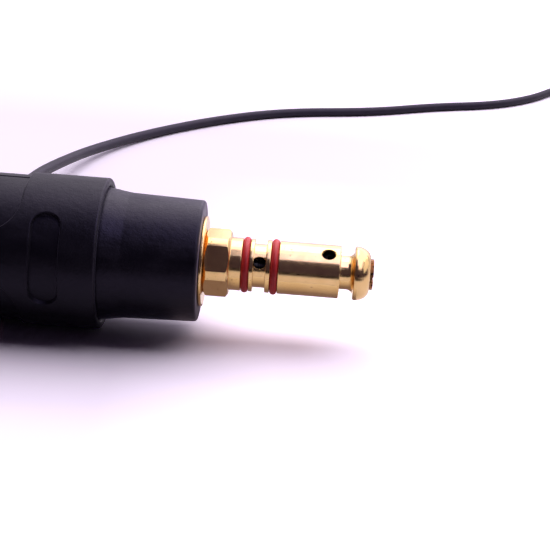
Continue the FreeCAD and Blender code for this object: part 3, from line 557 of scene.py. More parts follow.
# The real grain is near 0.1 mm; it is drawn at 0.35 mm, so that it shows.
add(tree, "ShaderNodeBump", {"Height": grain(tree, 0.35), "Distance": 0.03 * mm},
    feeds={"Normal": shader.inputs["Normal"]})
print("made", jacket.name)

# %% [markdown]
# ## Trigger lead
#
# The lead leaves the housing's far side, sinks to the table and runs off to the right. What
# the photograph doesn't show is put away as a neat coil, tied, with its plug beside it. One
# smooth NURBS curve follows the route's few points, and a loop works out the coil's turns. A
# curve with a round bevel is better here than a mesh, because its line stays smooth.

# %% Route of the lead
lead_radius = 2.4
lead_floor = floor_height + lead_radius
coil_middle = Vector((212, 500, 0))
coil_base, coil_top = -22.0, -16.7
route = [(-113.05, 57.05, 0), (-113.05, 80.8, 0), (-108.3, 103, -8.8), (-108.3, 128.5, -11.5),
         (-105.4, 161.4, -15.4), (-100, 205.4, -21), (-79.7, 252.4, lead_floor),
         (-46.2, 295.8, lead_floor), (-8.8, 328, lead_floor), (40.3, 344.6, lead_floor),
         (78.2, 371.3, lead_floor), (115.1, 388.4, lead_floor), (142.2, 415.6, lead_floor),
         (160, 446, lead_floor), (181, 472, coil_base), (181, 495.2, coil_base)]
turn_radii = [31, 27.75, 24.5, 24.5, 27.75, 31]
turn_heights = [coil_base] * 3 + [coil_top] * 3
half_turns, points_a_half_turn = 5, 10
for n in range(half_turns * points_a_half_turn + 1):
    half, share = divmod(n / points_a_half_turn, 1)
    half = int(half)
    following = min(half + 1, half_turns)
    radius = turn_radii[half] * (1 - share) + turn_radii[following] * share
    height = turn_heights[half] * (1 - share) + turn_heights[following] * share
    angle = pi * n / points_a_half_turn
    route.append((coil_middle.x - radius * cos(angle), coil_middle.y + radius * sin(angle),
                  height))
route += [(243, 495.2, coil_top), (243, 483, coil_top), (243, 470, -11.5), (243, 458, -11.5)]
print("lead points:", len(route))

# %% [markdown]
# The curve is of order three, so it rounds each corner of the route and stays within it.

# %% Trigger lead
lead_line = bpy.data.curves.new("trigger_lead_line", "CURVE")
lead_line.dimensions = "3D"
spline = lead_line.splines.new("NURBS")
spline.points.add(len(route) - 1)
for point, spot in zip(spline.points, route):
    point.co = (*(Vector(spot) * mm), 1)
spline.order_u = 3
spline.use_endpoint_u = True
spline.resolution_u = 12
spline.use_smooth = True
lead_line.bevel_depth = lead_radius * mm
lead_line.bevel_resolution = 8
lead_line.use_fill_caps = True
lead_line.materials.append(jacket)
lead = bpy.data.objects.new("trigger_lead_line", lead_line)
scene.collection.objects.link(lead)
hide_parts("trigger_lead", "trigger_lead_coil", "trigger_lead_tail")
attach(lead, "root")
print("lead line of", round(spline.calc_length() / mm), "mm")

# %% [markdown]
# ## Machined brass
#
# The plug is free-machining brass, turned on an automatic lathe and left bare. It is bright,
# with fine turning marks round the axis, a few dark pits, and a faint uneven tarnish that is
# browner where fingers have been. The marks run round the axis, so their noise changes along
# X only. A plain noise would look like cast metal.

# %% Brass
def turning_marks(tree, spacing):
    """Fine lines round the main axis, this many millimetres apart."""
    spot = add(tree, "ShaderNodeTexCoord").outputs["Object"]
    along = add(tree, "ShaderNodeSeparateXYZ", {"Vector": spot}).outputs["X"]
    counted = add(tree, "ShaderNodeMath", {0: along, 1: 1 / (spacing * mm)},
                  operation="MULTIPLY").outputs[0]
    return add(tree, "ShaderNodeTexNoise", {"W": counted, "Scale": 1.0, "Detail": 3.0},
               noise_dimensions="1D").outputs["Fac"]


def cut_brass(name, dark, pale, smooth, dull, pit_share):
    """Bare brass: tarnish in patches, dark pits and fine turning marks."""
    material, tree, shader = new_finish(name, Metallic=1.0)
    # Fingertips leave tarnish in patches some 7 mm across.
    clean = add(tree, "ShaderNodeValToRGB", {"Fac": grain(tree, 7.0, 4.0)},
                stops=[(0.35, dark), (0.7, pale)]).outputs["Color"]
    # Pits are under a millimetre wide, and only the noise's highest peaks become pits.
    pitted = add(tree, "ShaderNodeMapRange", {"Value": grain(tree, 0.9, 1.0),
                                              "From Min": pit_share,
                                              "From Max": pit_share + 0.02}).outputs[0]
    add(tree, "ShaderNodeMix", {0: pitted, 6: clean, 7: colour("4A2E1A")}, data_type="RGBA",
        feeds={2: shader.inputs["Base Color"]})
    # Handling dulls the metal unevenly, in patches of about 4 mm.
    add(tree, "ShaderNodeMapRange", {"Value": grain(tree, 4.0, 3.0), "From Min": 0.3,
                                     "From Max": 0.75, "To Min": smooth, "To Max": dull},
        feeds={0: shader.inputs["Roughness"]})
    # A lathe's feed leaves marks near 0.1 mm apart; they are drawn at 0.22 mm to show.
    add(tree, "ShaderNodeBump", {"Height": turning_marks(tree, 0.22), "Distance": 0.006 * mm},
        feeds={"Normal": shader.inputs["Normal"]})
    return material


brass = cut_brass("turned_brass", "E2BC7F", "ECC88E", 0.14, 0.24, 0.73)
worn_brass = cut_brass("worn_brass", "96643F", "C4976A", 0.26, 0.4, 0.6)
# Near-black brass for the insides of the holes: painted shade for their unlit depth.
bore_painted_shade = cut_brass("drilled_brass_painted_shade", "0D0908", "181110", 0.6, 0.8, 0.9)
print("made", brass.name, worn_brass.name, bore_painted_shade.name)

# %% [markdown]
# ## The plug
#
# The profile runs round the whole section: shank, hexagon, seal grooves, gas gallery, barrel,
# neck and the rounded nose. It is turned first and milled and drilled after, as the real one
# is, because a lathe can't make the hexagon.

# %% Plug, turned
# The nose is part of an ellipse, and a smaller one makes the fillet between neck and nose.
nose_along, nose_across, nose_middle, nose_offset = 4.7, 3.6, x_nose + 0.75, 5.5
fillet_along, fillet_across = 2.2, 2.1
nose_round, neck_fillet = [], []
for n in range(13):
    t = radians(80 * n / 12)
    nose_round.append((nose_middle + nose_along * sin(t), nose_offset + nose_across * cos(t), 0))
for n in range(9):
    t = radians(90 * n / 8)
    neck_fillet.append((x_nose - fillet_along + fillet_along * sin(t),
                        neck_radius + fillet_across - fillet_across * cos(t), 0))
hex_chamfer, hex_chamfer_length = 1.25, 0.95
plug_profile = softened([
    (-46.85, plug_bore, 0), (-46.85, shank_radius - 1, 0), (-45.85, shank_radius, 0),
    (x_hex_rear, shank_radius, 0), (x_hex_rear, hex_radius - hex_chamfer, 0.15),
    (x_hex_rear + hex_chamfer_length, hex_radius, 0.2),
    (x_hex_front - hex_chamfer_length, hex_radius, 0.2),
    (x_hex_front, hex_radius - hex_chamfer, 0.2), (x_hex_front, barrel_radius, 0.1),
    (x_rear_groove, barrel_radius, 0.22), (x_rear_groove, groove_radius, 0.1),
    (x_rear_groove_front, groove_radius, 0.1), (x_rear_groove_front, barrel_radius, 0.22),
    (x_gallery_rear, barrel_radius, 0.22), (x_gallery_rear, gallery_radius, 0.15),
    (x_gallery_front, gallery_radius, 0.15), (x_gallery_front, barrel_radius, 0.22),
    (x_front_groove, barrel_radius, 0.22), (x_front_groove, groove_radius, 0.1),
    (0, groove_radius, 0.1), (0, barrel_radius, 0.22), (barrel_length, barrel_radius, 0.45),
    (barrel_length, neck_radius, 0.2), *neck_fillet, (x_nose, nose_radius, 0.45),
    *nose_round, (x_nose_end, 5.2, 0.1), (x_nose_end, nut_thread_radius, 0.1),
    (x_nose_end - 9, nut_thread_radius, 0), (x_nose_end - 10, plug_bore, 0),
])
plug = turned("brass_plug", plug_profile, brass, turns=192)
print("plug profile points:", len(plug_profile))

# %% [markdown]
# The hexagon is milled from the round bar, so it is cut with a ring that has a hexagonal hole.
# The gas hole runs through the gallery and the grub screw's hole into the barrel. Both are
# drilled and countersunk. The near-black finish inside them is painted shade for their unlit
# depth, on brass that is also oily there.

# %% Plug, milled and drilled
hex_flat_angle = 25.5
hex_corner = hex_flats / 2 / cos(radians(30))
waste = turned("cutter", [(x_hex_rear - 0.5, hex_corner), (x_hex_front + 0.5, hex_corner),
                          (x_hex_front + 0.5, 20), (x_hex_rear - 0.5, 20)],
               brass, turns=6, phase=hex_flat_angle + 30)
gas_radius, gas_way = 1.95, radial(27)
gas_spot = Vector(((x_gallery_front + x_gallery_rear) / 2, 0, 0))
grub_radius, grub_way, grub_spot = 2.05, radial(59), Vector((16.5, 0, 0))
gas_hole = peg(gas_radius, gas_spot - gas_way * barrel_radius, gas_way, 2 * barrel_radius,
               bore_painted_shade)
grub_hole = peg(grub_radius, grub_spot, grub_way, barrel_radius + 1, bore_painted_shade)
rims = [turned("cutter", [(surface - 0.6, 0), (surface + 0.4, 0), (surface + 0.4, bore + 0.8),
                          (surface - 0.6, bore - 0.03)], brass, spot, way, 48)
        for spot, way, surface, bore in ((gas_spot, gas_way, gallery_radius, gas_radius),
                                         (grub_spot, grub_way, barrel_radius, grub_radius))]
cut(plug, waste, gas_hole, grub_hole, *rims)
# The milled flats' own edges are marked sharp, so that each flat mirrors as a flat.
work = bmesh.new()
work.from_mesh(plug.data)
flats = [face for face in work.faces if face.calc_area() > 25 * mm * mm
         and abs(face.normal.x) < 0.1]
for flat in flats:
    for edge in flat.edges:
        edge.smooth = False
work.to_mesh(plug.data)
work.free()
print("milled flats:", len(flats))
break_edges(plug, 0.16)
place(plug, "root", "machined_brass", "power_pin")

# %% [markdown]
# ## Connector block
#
# The block is a long brass turning inside the housing, and only its flange shows, between the
# hexagon and the boot. It is turned whole, because its end may show through the housing's
# rear opening.

# %% Connector block
flange_radius, block_radius, clamp_bore = 15.3, 12.0, 10.4
connector = turned("connector_block_turned", softened([
    (-104.05, 7.6, 0), (-92.05, 3.6, 0), (-47.85, 3.6, 0), (-47.85, shank_radius + 0.05, 0),
    (x_hex_rear, shank_radius + 0.05, 0), (x_hex_rear, flange_radius, 0.4),
    (x_boot_end, flange_radius, 0.4), (x_boot_end, block_radius, 0),
    (-73.05, block_radius, 0.1), (-73.05, clamp_bore, 0), (-77.05, clamp_bore, 0),
    (-77.05, block_radius, 0.1), (-91.55, block_radius, 0.1), (-91.55, clamp_bore, 0),
    (-104.05, clamp_bore, 0.3)]), brass, turns=160)
break_edges(connector, 0)
place(connector, "root", "machined_brass", "connector_block")

# %% [markdown]
# ## Liner nut
#
# The nut in the plug's nose traps the wire's liner. It is turned, with fine grooves round its
# head, and has a screwdriver slot. It is worn browner than the plug, so it has its own brass.

# %% Liner nut
nut_radius = 5.35
nut_corners = [(23.45, 2.35, 0), (28.95, 2.35, 0), (28.95, 1.2, 0), (31.55, 1.2, 0),
               (31.9, 2.2, 0.2), (31.9, 5.15, 0.5)]
for x in (31.72, 31.38):
    nut_corners += [(x, nut_radius, 0.05), (x - 0.13, 5.18, 0.05), (x - 0.26, 5.18, 0.05)]
nut_corners += [(x_nose_end, nut_radius, 0.05), (x_nose_end, 3.95, 0), (23.45, 3.95, 0)]
nut = turned("liner_nut_turned", softened(nut_corners, 3), worn_brass, turns=128)
nut_slot = new_piece("cutter", [(x, y, z) for x in (31.55, 33) for y in (-6, 6)
                                for z in (-0.7, 0.7)],
                     [(0, 1, 3, 2), (4, 6, 7, 5), (0, 4, 5, 1), (2, 3, 7, 6), (0, 2, 6, 4),
                      (1, 5, 7, 3)], worn_brass)
cut(nut, nut_slot)
break_edges(nut, 0.08)
place(nut, "root", "machined_brass", "liner_nut")

# %% [markdown]
# ## Red silicone
#
# The two seals are moulded silicone rings. Silicone is a matt, slightly waxy rubber: light
# enters a little way, so its shaded side stays deep red. That is subsurface scattering, kept
# weak and short, because a stronger one would make the thin rings glow like sweets.

# %% Silicone
silicone, tree, shader = new_finish("moulded_silicone", Roughness=0.42, IOR=1.41,
                                    Subsurface_Weight=0.1, Subsurface_Scale=0.6 * mm,
                                    Subsurface_Radius=(1.0, 0.25, 0.2))
# The colour drifts over about 1.5 mm, half of the ring's thickness.
add(tree, "ShaderNodeValToRGB", {"Fac": grain(tree, 1.5)},
    stops=[(0.3, "E42B30"), (0.7, "F0373B")], feeds={"Color": shader.inputs["Base Color"]})
# The tool's spark-eroded skin has pits of about 0.1 mm, drawn at 0.2 mm.
add(tree, "ShaderNodeBump", {"Height": grain(tree, 0.2), "Distance": 0.01 * mm},
    feeds={"Normal": shader.inputs["Normal"]})
print("made", silicone.name)

# %% [markdown]
# ## Geometry Nodes
#
# What repeats, or follows a rule, is made by a tree of Geometry Nodes with named inputs for
# its sizes. Every tree ends in real geometry with a material, and its result is turned into a
# plain mesh at once, because an instance would be lost if the model were exported.

# %% Helpers for Geometry Nodes
def new_tree(name, inputs):
    """A Geometry Nodes tree with named inputs; returns it and its ends."""
    tree = bpy.data.node_groups.new(name, "GeometryNodeTree")
    tree.interface.new_socket("Geometry", in_out="OUTPUT", socket_type="NodeSocketGeometry")
    tree.interface.new_socket("Base", in_out="INPUT", socket_type="NodeSocketGeometry")
    for label, kind in inputs:
        tree.interface.new_socket(label, in_out="INPUT", socket_type="NodeSocket" + kind)
    return tree, tree.nodes.new("NodeGroupInput").outputs, tree.nodes.new("NodeGroupOutput")


def end_tree(tree, geometry, material, end):
    """Every tree ends in real geometry with its material."""
    real = add(tree, "GeometryNodeRealizeInstances", {"Geometry": geometry}).outputs[0]
    smooth = add(tree, "GeometryNodeSetShadeSmooth", {"Geometry": real}).outputs[0]
    add(tree, "GeometryNodeSetMaterial", {"Geometry": smooth, "Material": material},
        feeds={0: end.inputs[0]})


def grow(name, tree, values, base=None):
    """A plain mesh piece from a tree, its named inputs and a base that the tree repeats."""
    mesh = base.data if base else bpy.data.meshes.new(name)
    piece = bpy.data.objects.new(name, mesh)
    scene.collection.objects.link(piece)
    if base:
        bpy.data.objects.remove(base)
    nodes = piece.modifiers.new("grow", "NODES")
    nodes.node_group = tree
    for socket in tree.interface.items_tree:
        if socket.item_type == "SOCKET" and socket.name in values:
            nodes[socket.identifier] = values[socket.name]
    settle(piece)
    piece.data.set_sharp_from_angle(angle=radians(40))
    return piece


print("trees so far:", len(bpy.data.node_groups))

# %% [markdown]
# ## Seals
#
# A seal is a circle carried round a circle, which is a shape with a rule, so one tree makes
# both. Each is squeezed a little into its groove, so its section is thinner than a new ring's.

# %% Seals
seal_tree, seal_inputs, seal_end = new_tree("seal_ring", [
    ("Ring Radius", "Float"), ("Section Radius", "Float"), ("Place", "Vector"),
    ("Material", "Material")])
hoop = add(seal_tree, "GeometryNodeCurvePrimitiveCircle",
           {"Resolution": 160, "Radius": seal_inputs["Ring Radius"]}).outputs[0]
section = add(seal_tree, "GeometryNodeCurvePrimitiveCircle",
              {"Resolution": 28, "Radius": seal_inputs["Section Radius"]}).outputs[0]
tube = add(seal_tree, "GeometryNodeCurveToMesh",
           {"Curve": hoop, "Profile Curve": section}).outputs[0]
stood = add(seal_tree, "GeometryNodeTransform",
            {"Geometry": tube, "Translation": seal_inputs["Place"],
             "Rotation": (0, pi / 2, 0)}).outputs[0]
end_tree(seal_tree, stood, seal_inputs["Material"], seal_end)

seal_section = 2.52
for name, x_low, node in (("front_seal", x_front_groove, "front_o_ring"),
                          ("rear_seal", x_rear_groove, "rear_o_ring")):
    seal = grow(name, seal_tree, {
        "Ring Radius": (groove_radius + 0.05 + seal_section / 2) * mm,
        "Section Radius": seal_section / 2 * mm,
        "Place": ((x_low + 1.35) * mm, 0, 0), "Material": silicone})
    place(seal, "root", "red_silicone", node)

# %% [markdown]
# ## Black rubber and black nylon
#
# The nose boot is moulded rubber and the housing is moulded nylon. Both are nearly black.
# Their skin is matt with a fine grain, and handling has left faint paler rubs and scuffs that
# show where the light from above grazes them. A weak sheen gives that bloom, which a lighter
# base colour would spread all over.

# %% Rubber and nylon
def black_moulding(name, dark, pale, roughness, ior, scuff_size, bloom):
    """A black moulded finish with scuffs of this many millimetres and this much sheen."""
    # The violet tint of the reflections and the sheen is painted: it stands for the violet cast
    # of the light.
    material, tree, shader = new_finish(name, IOR=ior, Specular_IOR_Level=0.25,
                                        Specular_Tint=colour("E0D2FF"), Sheen_Weight=bloom,
                                        Sheen_Roughness=0.4, Sheen_Tint=colour("D8C8FF"))
    scuffs = grain(tree, scuff_size, 5.0, (0.45, 1, 1))
    add(tree, "ShaderNodeValToRGB", {"Fac": scuffs}, stops=[(0.42, dark), (0.72, pale)],
        feeds={"Color": shader.inputs["Base Color"]})
    add(tree, "ShaderNodeMapRange", {"Value": scuffs, "From Min": 0.35, "From Max": 0.75,
                                     "To Min": roughness - 0.05, "To Max": roughness + 0.08},
        feeds={0: shader.inputs["Roughness"]})
    # The mould's blasted grain is near 0.2 mm and is drawn at 0.45 mm; the skin also sinks
    # and swells over about 2 mm, where the moulding shrank.
    fine, coarse = grain(tree, 0.45), grain(tree, 2.2, 3.0)
    both = add(tree, "ShaderNodeMath", {0: coarse, 1: 2.5, 2: fine},
               operation="MULTIPLY_ADD").outputs[0]
    add(tree, "ShaderNodeBump", {"Height": both, "Distance": 0.045 * mm},
        feeds={"Normal": shader.inputs["Normal"]})
    return material


rubber = black_moulding("moulded_rubber", "0C0B0F", "17151B", 0.4, 1.52, 5.0, 0.3)
nylon = black_moulding("moulded_nylon", "0B0A0D", "151418", 0.46, 1.53, 6.0, 0.1)
print("made", rubber.name, nylon.name)

# %% [markdown]
# ## Nose boot
#
# The boot is a thick rubber sleeve over the block, nearly straight and flared towards the
# ring, with a well rounded front edge. It has no seams that show, so it is one turned piece.

# %% Nose boot
flare_radius, waist_radius, end_radius = 22.35, 21.2, 20.5
boot_bore, spigot_bore, spigot_radius = 12.05, 19.6, 20.8
flare_points = []
for n in range(13):
    t = n / 12
    flare_points.append((x_ring_front + 7.4 * (1 - t),
                         waist_radius + (flare_radius - waist_radius) * t ** 1.08, 0))
boot_profile = softened([
    (-73.15, boot_bore, 0), (x_boot_end, boot_bore, 0.2), (x_boot_end, 18.0, 0.3),
    (x_boot_end, end_radius, 1.9), *flare_points, (x_neck_front, flare_radius, 0),
    (x_neck_front, spigot_bore, 0), (-69.15, spigot_bore, 0), (-69.65, spigot_radius, 0),
    (-73.15, spigot_radius, 0),
])
boot = turned("rubber_boot", boot_profile, rubber, turns=192)
break_edges(boot, 0)
place(boot, "root", "black_rubber", "nose_boot")

# %% [markdown]
# ## Twist ring
#
# The ring round the housing has two tongues with scooped edges between them, and a long oval
# recess for a finger on each tongue. Its outside is drawn flat, unrolled, with rows of points
# that follow each oval, and then wrapped round the axis, so the recess has a smooth rim. A
# boolean would leave long thin faces there that catch the light badly. The rear edge comes
# first, as stations that go once round the ring.

# %% Ring sizes and its rear edge
oval_middle, oval_half_width, oval_sweep, oval_depth = -75.2, 4.8, 73.0, 1.4
tongue_half_width, tongue_fillet = 8.4, 11.0
tongue_root = tongue_half_width + tongue_fillet
x_tongue_side = x_ring_band - tongue_fillet
x_tongue_end = x_tongue_side - tongue_half_width
tongue_bore = shell_radius + 0.1
edge_round = 0.35


def turn_at(half_width, radius):
    """The angle from a tongue's middle to a point this far to its side."""
    return degrees(asin(half_width / radius))


def half_edge():
    """(half-width, x) along the rear edge, from a tongue's root to beside its tip."""
    points = []
    for n in range(1, 11):
        t = radians(9 * n)
        points.append((tongue_root - tongue_fillet * sin(t),
                       x_tongue_side + tongue_fillet * cos(t)))
    for n in range(1, 10):
        t = radians(10 * n)
        points.append((tongue_half_width * cos(t), x_tongue_side - tongue_half_width * sin(t)))
    return points


def rear_edge():
    """(angle, x, angle inside) once round the ring; the wall is square to the tongues."""
    outer_root = turn_at(tongue_root, ring_radius)
    inner_root = turn_at(tongue_root, tongue_bore)
    between, steps = [], 22
    for n in range(steps + 1):
        share = n / steps
        between.append((90 - (90 - outer_root) * share, x_ring_band,
                        90 - (90 - inner_root) * share))
    side = [(turn_at(h, ring_radius), x, turn_at(h, tongue_bore)) for h, x in half_edge()]
    one_side = between + side[:-1]
    points = []
    for tongue in (lobe_angle + 180, lobe_angle + 360):
        points += [(tongue - a, x, tongue - b) for a, x, b in one_side]
        points.append((tongue, x_tongue_end, tongue))
        points += [(tongue + a, x, tongue + b) for a, x, b in reversed(one_side[1:])]
    return points


stations = rear_edge()
# One degree round the ring's outside is this long on the flat skin.
arc = radians(1) * ring_radius
once_round = Vector((360 * arc, 0))
edge_line = [Vector((angle * arc, x)) for angle, x, _ in stations]
inward = []
for n, point in enumerate(edge_line):
    before = edge_line[n - 1] if n else edge_line[-1] - once_round
    after = edge_line[n + 1] if n + 1 < len(stations) else edge_line[0] + once_round
    along = (after - before).normalized()
    inward.append(Vector((-along.y, along.x)))
print("stations:", len(stations), "tongue ends at", round(min(x for _, x, _ in stations), 2))

# %% [markdown]
# An oval is two half circles joined by straight sides, as a round cutter leaves it in the
# mould. The distance from its outline gives the depth of the recess at every point, and lines
# of points at set distances make the triangles follow its rim and wall.

# %% Ovals on the unrolled skin
straight_half = radians(oval_sweep / 2) * ring_radius - oval_half_width
rim_reach, wall_width = 0.14, 0.5


def oval_distance(angle, x):
    """Distance outside (+) or inside (-) the nearer oval's outline, along the surface."""
    nearest = 1e9
    for side in (0, 180):
        turn = (angle - lobe_angle - side + 180) % 360 - 180
        beyond = max(abs(radians(turn)) * ring_radius - straight_half, 0)
        nearest = min(nearest, hypot(beyond, x - oval_middle) - oval_half_width)
    return nearest


def oval_drop(distance):
    """Depth of the recess: a rounded rim, a steep wall and a rounded foot."""
    t = min(max((rim_reach - distance) / wall_width, 0), 1)
    return oval_depth * t * t * (3 - 2 * t)


def oval_line(side, offset):
    """Points round an oval at this distance from its outline, as (angle, x)."""
    reach = oval_half_width + offset
    straight_steps, end_steps = int(2 * straight_half / 0.8), 20
    points = []
    for sign in (1, -1):
        for n in range(straight_steps):
            points.append((sign * straight_half * (1 - 2 * n / straight_steps), -sign * reach))
        for n in range(end_steps):
            t = pi * n / end_steps
            points.append((-sign * (straight_half + reach * sin(t)), -sign * reach * cos(t)))
    return [(lobe_angle + side + s / arc, oval_middle + x) for s, x in points]


print("oval length:", round(2 * (straight_half + oval_half_width), 1), "mm on the skin")

# %% [markdown]
# The flat skin has a border, lines round both ovals and a loose grid of points in between. A
# Delaunay triangulation joins them into triangles that are as even as can be. The grid keeps
# clear of the lines, so that no thin triangle lies beside them.

# %% The ring's outside, drawn flat
skin_front, side_rows = x_ring_front - 1.8, 14
grid_turn, grid_row = 3, 1.6
flat_points, flat_edges = [], []


def add_loop(points):
    """Add a closed line of (angle, x) points that the triangles have to follow."""
    start, count = len(flat_points), len(points)
    flat_points.extend(points)
    flat_edges.extend((start + n, start + (n + 1) % count) for n in range(count))


def tongue_reach(x):
    """Half the width of a tongue at this place, with the fillets at its root."""
    if x < x_tongue_side:
        return tongue_root - tongue_fillet
    return tongue_root - sqrt(tongue_fillet ** 2 - (x - x_tongue_side) ** 2)


skin_rear = [point + way * edge_round for point, way in zip(edge_line, inward)]
first_angle, skin_width = stations[0][0], skin_rear[0].y - skin_front
side_x = [skin_front + skin_width * n / side_rows for n in range(side_rows + 1)]
border = [(point.x / arc, point.y) for point in skin_rear + [skin_rear[0] + once_round]]
border += [(first_angle + 360, x) for x in reversed(side_x[:-1])]
border += [(angle, skin_front) for angle, _, _ in reversed(stations)]
border += [(first_angle, x) for x in side_x[1:-1]]
add_loop(border)
for side in (180, 360):
    for offset in (0.45, 0.15, 0.08, 0.01, -0.06, -0.13, -0.2, -0.27, -0.37, -0.7):
        add_loop(oval_line(side, offset))
tongue_turn = turn_at(tongue_root, ring_radius)
for n in range(1, 360 // grid_turn):
    angle = first_angle + grid_turn * n
    turn = abs((angle - lobe_angle + 90) % 180 - 90)
    row = skin_front - 1.5
    while row > x_tongue_end + 1:
        away = oval_distance(angle, row)
        spot = Vector((angle * arc, row))
        clear = min((spot - point).length for point in skin_rear) > 0.8
        inside = row > x_ring_band or ring_radius * sin(radians(turn)) < tongue_reach(row)
        by_root = row < x_ring_band + 0.8 and turn > tongue_turn - 1
        if clear and inside and not by_root and (away > 0.9 or away < -1.4):
            flat_points.append((angle, row))
        row -= grid_row
skin_corners, _, skin_faces = delaunay_2d_cdt(
    [Vector((angle * arc, x)) for angle, x in flat_points], flat_edges, [], 1, 1e-5)[:3]
print("flat points", len(flat_points), "faces", len(skin_faces))

# %% [markdown]
# The skin is wrapped round the axis, and each station gets the ring's whole section: its
# front, its bore, the wall behind and a rounded rear edge that meets the skin.

# %% The ring, wrapped and closed
front_bore, neck_bore, rim_steps = 22.45, 23.1, 5


def on_ring(angle, x, radius):
    """The point at this angle and place along X, this far from the axis."""
    return X * x + radial(angle) * radius


vertices = []
for corner in skin_corners:
    angle = corner.x / arc
    drop = oval_drop(oval_distance(angle, corner.y))
    vertices.append(on_ring(angle, corner.y, ring_radius - drop))
faces = [list(face) for face in skin_faces]
front_profile = softened([
    (skin_front, ring_radius, 0), (x_ring_front - 0.75, ring_radius, 0.4),
    (x_ring_front - 0.2, ring_radius - 0.8, 0.45), (x_ring_front - 0.2, 23.3, 0.25),
    (x_ring_front - 0.9, 22.5, 0.2), (x_ring_front - 1.15, front_bore, 0),
    (x_neck_front + 0.3, front_bore, 0), (x_neck_front + 0.3, neck_bore, 0),
    (x_ring_band + 0.05, neck_bore, 0), (x_ring_band + 0.05, tongue_bore, 0)])
start, count = len(vertices), len(front_profile) + 1 + rim_steps
for (angle, x, inner_angle), point, way in zip(stations, edge_line, inward):
    vertices += [on_ring(angle, along, radius) for along, radius in front_profile]
    vertices.append(on_ring(inner_angle, x, tongue_bore))
    for n in range(rim_steps):
        t = radians(90 / (rim_steps - 1) * n)
        rim = point + way * edge_round * (1 - cos(t))
        vertices.append(on_ring(rim.x / arc, rim.y, ring_radius - edge_round * (1 - sin(t))))
for n in range(len(stations)):
    here, after = start + n * count, start + (n + 1) % len(stations) * count
    faces += [[here + k, here + k + 1, after + k + 1, after + k] for k in range(count - 1)]
ring = new_piece("twist_ring", vertices, faces, nylon)
break_edges(ring, 0, limit=45)
place(ring, "ring", "black_nylon", "locking_ring")

# %% [markdown]
# ## Housing shells
#
# The housing is two moulded halves that meet at an upright plane through the axis. Each edge
# there has a small chamfer, so a thin dark groove runs along the top. Each half is a profile
# carried through half a turn. The far one also has the outlet for the lead and the recesses
# for the four screws.

# %% Housing halves
shell_bore, spigot_seat, x_taper, taper_length = 21.2, 20.85, -148.25, 19.5
inlet_bore, bulkhead_bore, neck_inside, parting_gap = 13.25, 10.45, 19.65, 0.075
taper = []
for n in range(1, 14):
    t = n / 14
    taper.append((x_taper - taper_length * t,
                  shell_radius - 8.4 * (0.48 * t + 0.52 * t * t), 0))
shell_outside = [
    (x_neck_front, 23.0, 0.15), (x_step, 23.0, 0.1), (x_step, shell_radius, 0.15),
    (-135.25, shell_radius, 0.4), (-136.75, 25.5, 0.5), (-146.75, 25.5, 0.5),
    (x_taper, shell_radius, 0.5), *taper, (x_shell_rear, 15.6, 0.5)]
shell_profile = softened([
    *shell_outside, (x_shell_rear, inlet_bore, 0.2), (-163.25, inlet_bore, 0),
    (-163.25, 11.65, 0), (-159.25, 11.65, 0), (-159.25, inlet_bore, 0),
    (-154.75, inlet_bore, 0), (-146.75, shell_bore, 0), (x_step - 4.3, shell_bore, 0),
    (x_step - 2.8, 19.7, 0), (-76.95, 19.7, 0), (-76.95, bulkhead_bore, 0),
    (-73.15, bulkhead_bore, 0), (-73.15, spigot_seat, 0), (-69.15, spigot_seat, 0),
    (-69.15, neck_inside, 0), (x_neck_front, neck_inside, 0),
])


def half_turned(name, profile, outside, material, start_angle):
    """A profile carried through half a turn, with flat ends whose outer edge is chamfered."""
    chamfer = 0.6
    chamfer_turn = degrees(chamfer / shell_radius)
    angles = [0, chamfer_turn, *range(2, 180, 2), 180 - chamfer_turn, 180]
    count, last = len(profile), (len(angles) - 1) * len(profile)
    vertices = []
    for angle in angles:
        out = radial(start_angle + angle)
        drop = chamfer if angle in (0, 180) else 0
        vertices += [X * along + out * (radius - drop * (k < outside))
                     for k, (along, radius) in enumerate(profile)]
    faces = [(n + k, n + (k + 1) % count, n + count + (k + 1) % count, n + count + k)
             for n in range(0, last, count) for k in range(count)]
    faces += [list(range(count)), list(range(last, last + count))]
    return new_piece(name, vertices, faces, material)


outside = len(softened(shell_outside))
near_half = half_turned("near_housing", shell_profile, outside, nylon, -90)
far_half = half_turned("far_housing", shell_profile, outside, nylon, 90)
for half, sign in ((near_half, -1), (far_half, 1)):
    for vertex in half.data.vertices:
        if abs(vertex.co.y) < parting_gap * mm:
            vertex.co.y = sign * parting_gap * mm
print("housing profile points:", len(shell_profile), "of them outside:", outside)

# %% [markdown]
# The outlet is a short tube on the far half. The hole in the wall is a little wider than the
# tube's bore, so the hole is cut first and the tube is then added with a union. The screws'
# recesses are plain holes, cut last.

# %% Outlet and screw recesses
boss = turned("outlet_boss",
              softened([(20.9, 4.65, 0), (28, 4.65, 0), (28, 8.2, 0.6), (20.9, 8.2, 0)]),
              nylon, (x_outlet, 0, 0), Y, 72)
cut(far_half, peg(5.4, (x_outlet, 15, 0), Y, 16, nylon))
cut(far_half, boss, operation="UNION")
cut(far_half, *[peg(2.8, (x, 8.5, z), Y, 20, nylon)
                for x in (-101.45, -139.45) for z in (-17.5, 17.5)])
for half, node in ((near_half, "near_shell"), (far_half, "far_shell")):
    break_edges(half, 0.22)
    place(half, "root", "black_nylon", node)

# %% [markdown]
# ## Strain relief
#
# The relief is soft moulded rubber: a taper with slots between its rings, so that it bends
# with the lead. Real slots go only part of the way round. These go all the way, so that the
# whole relief can be one turned profile.

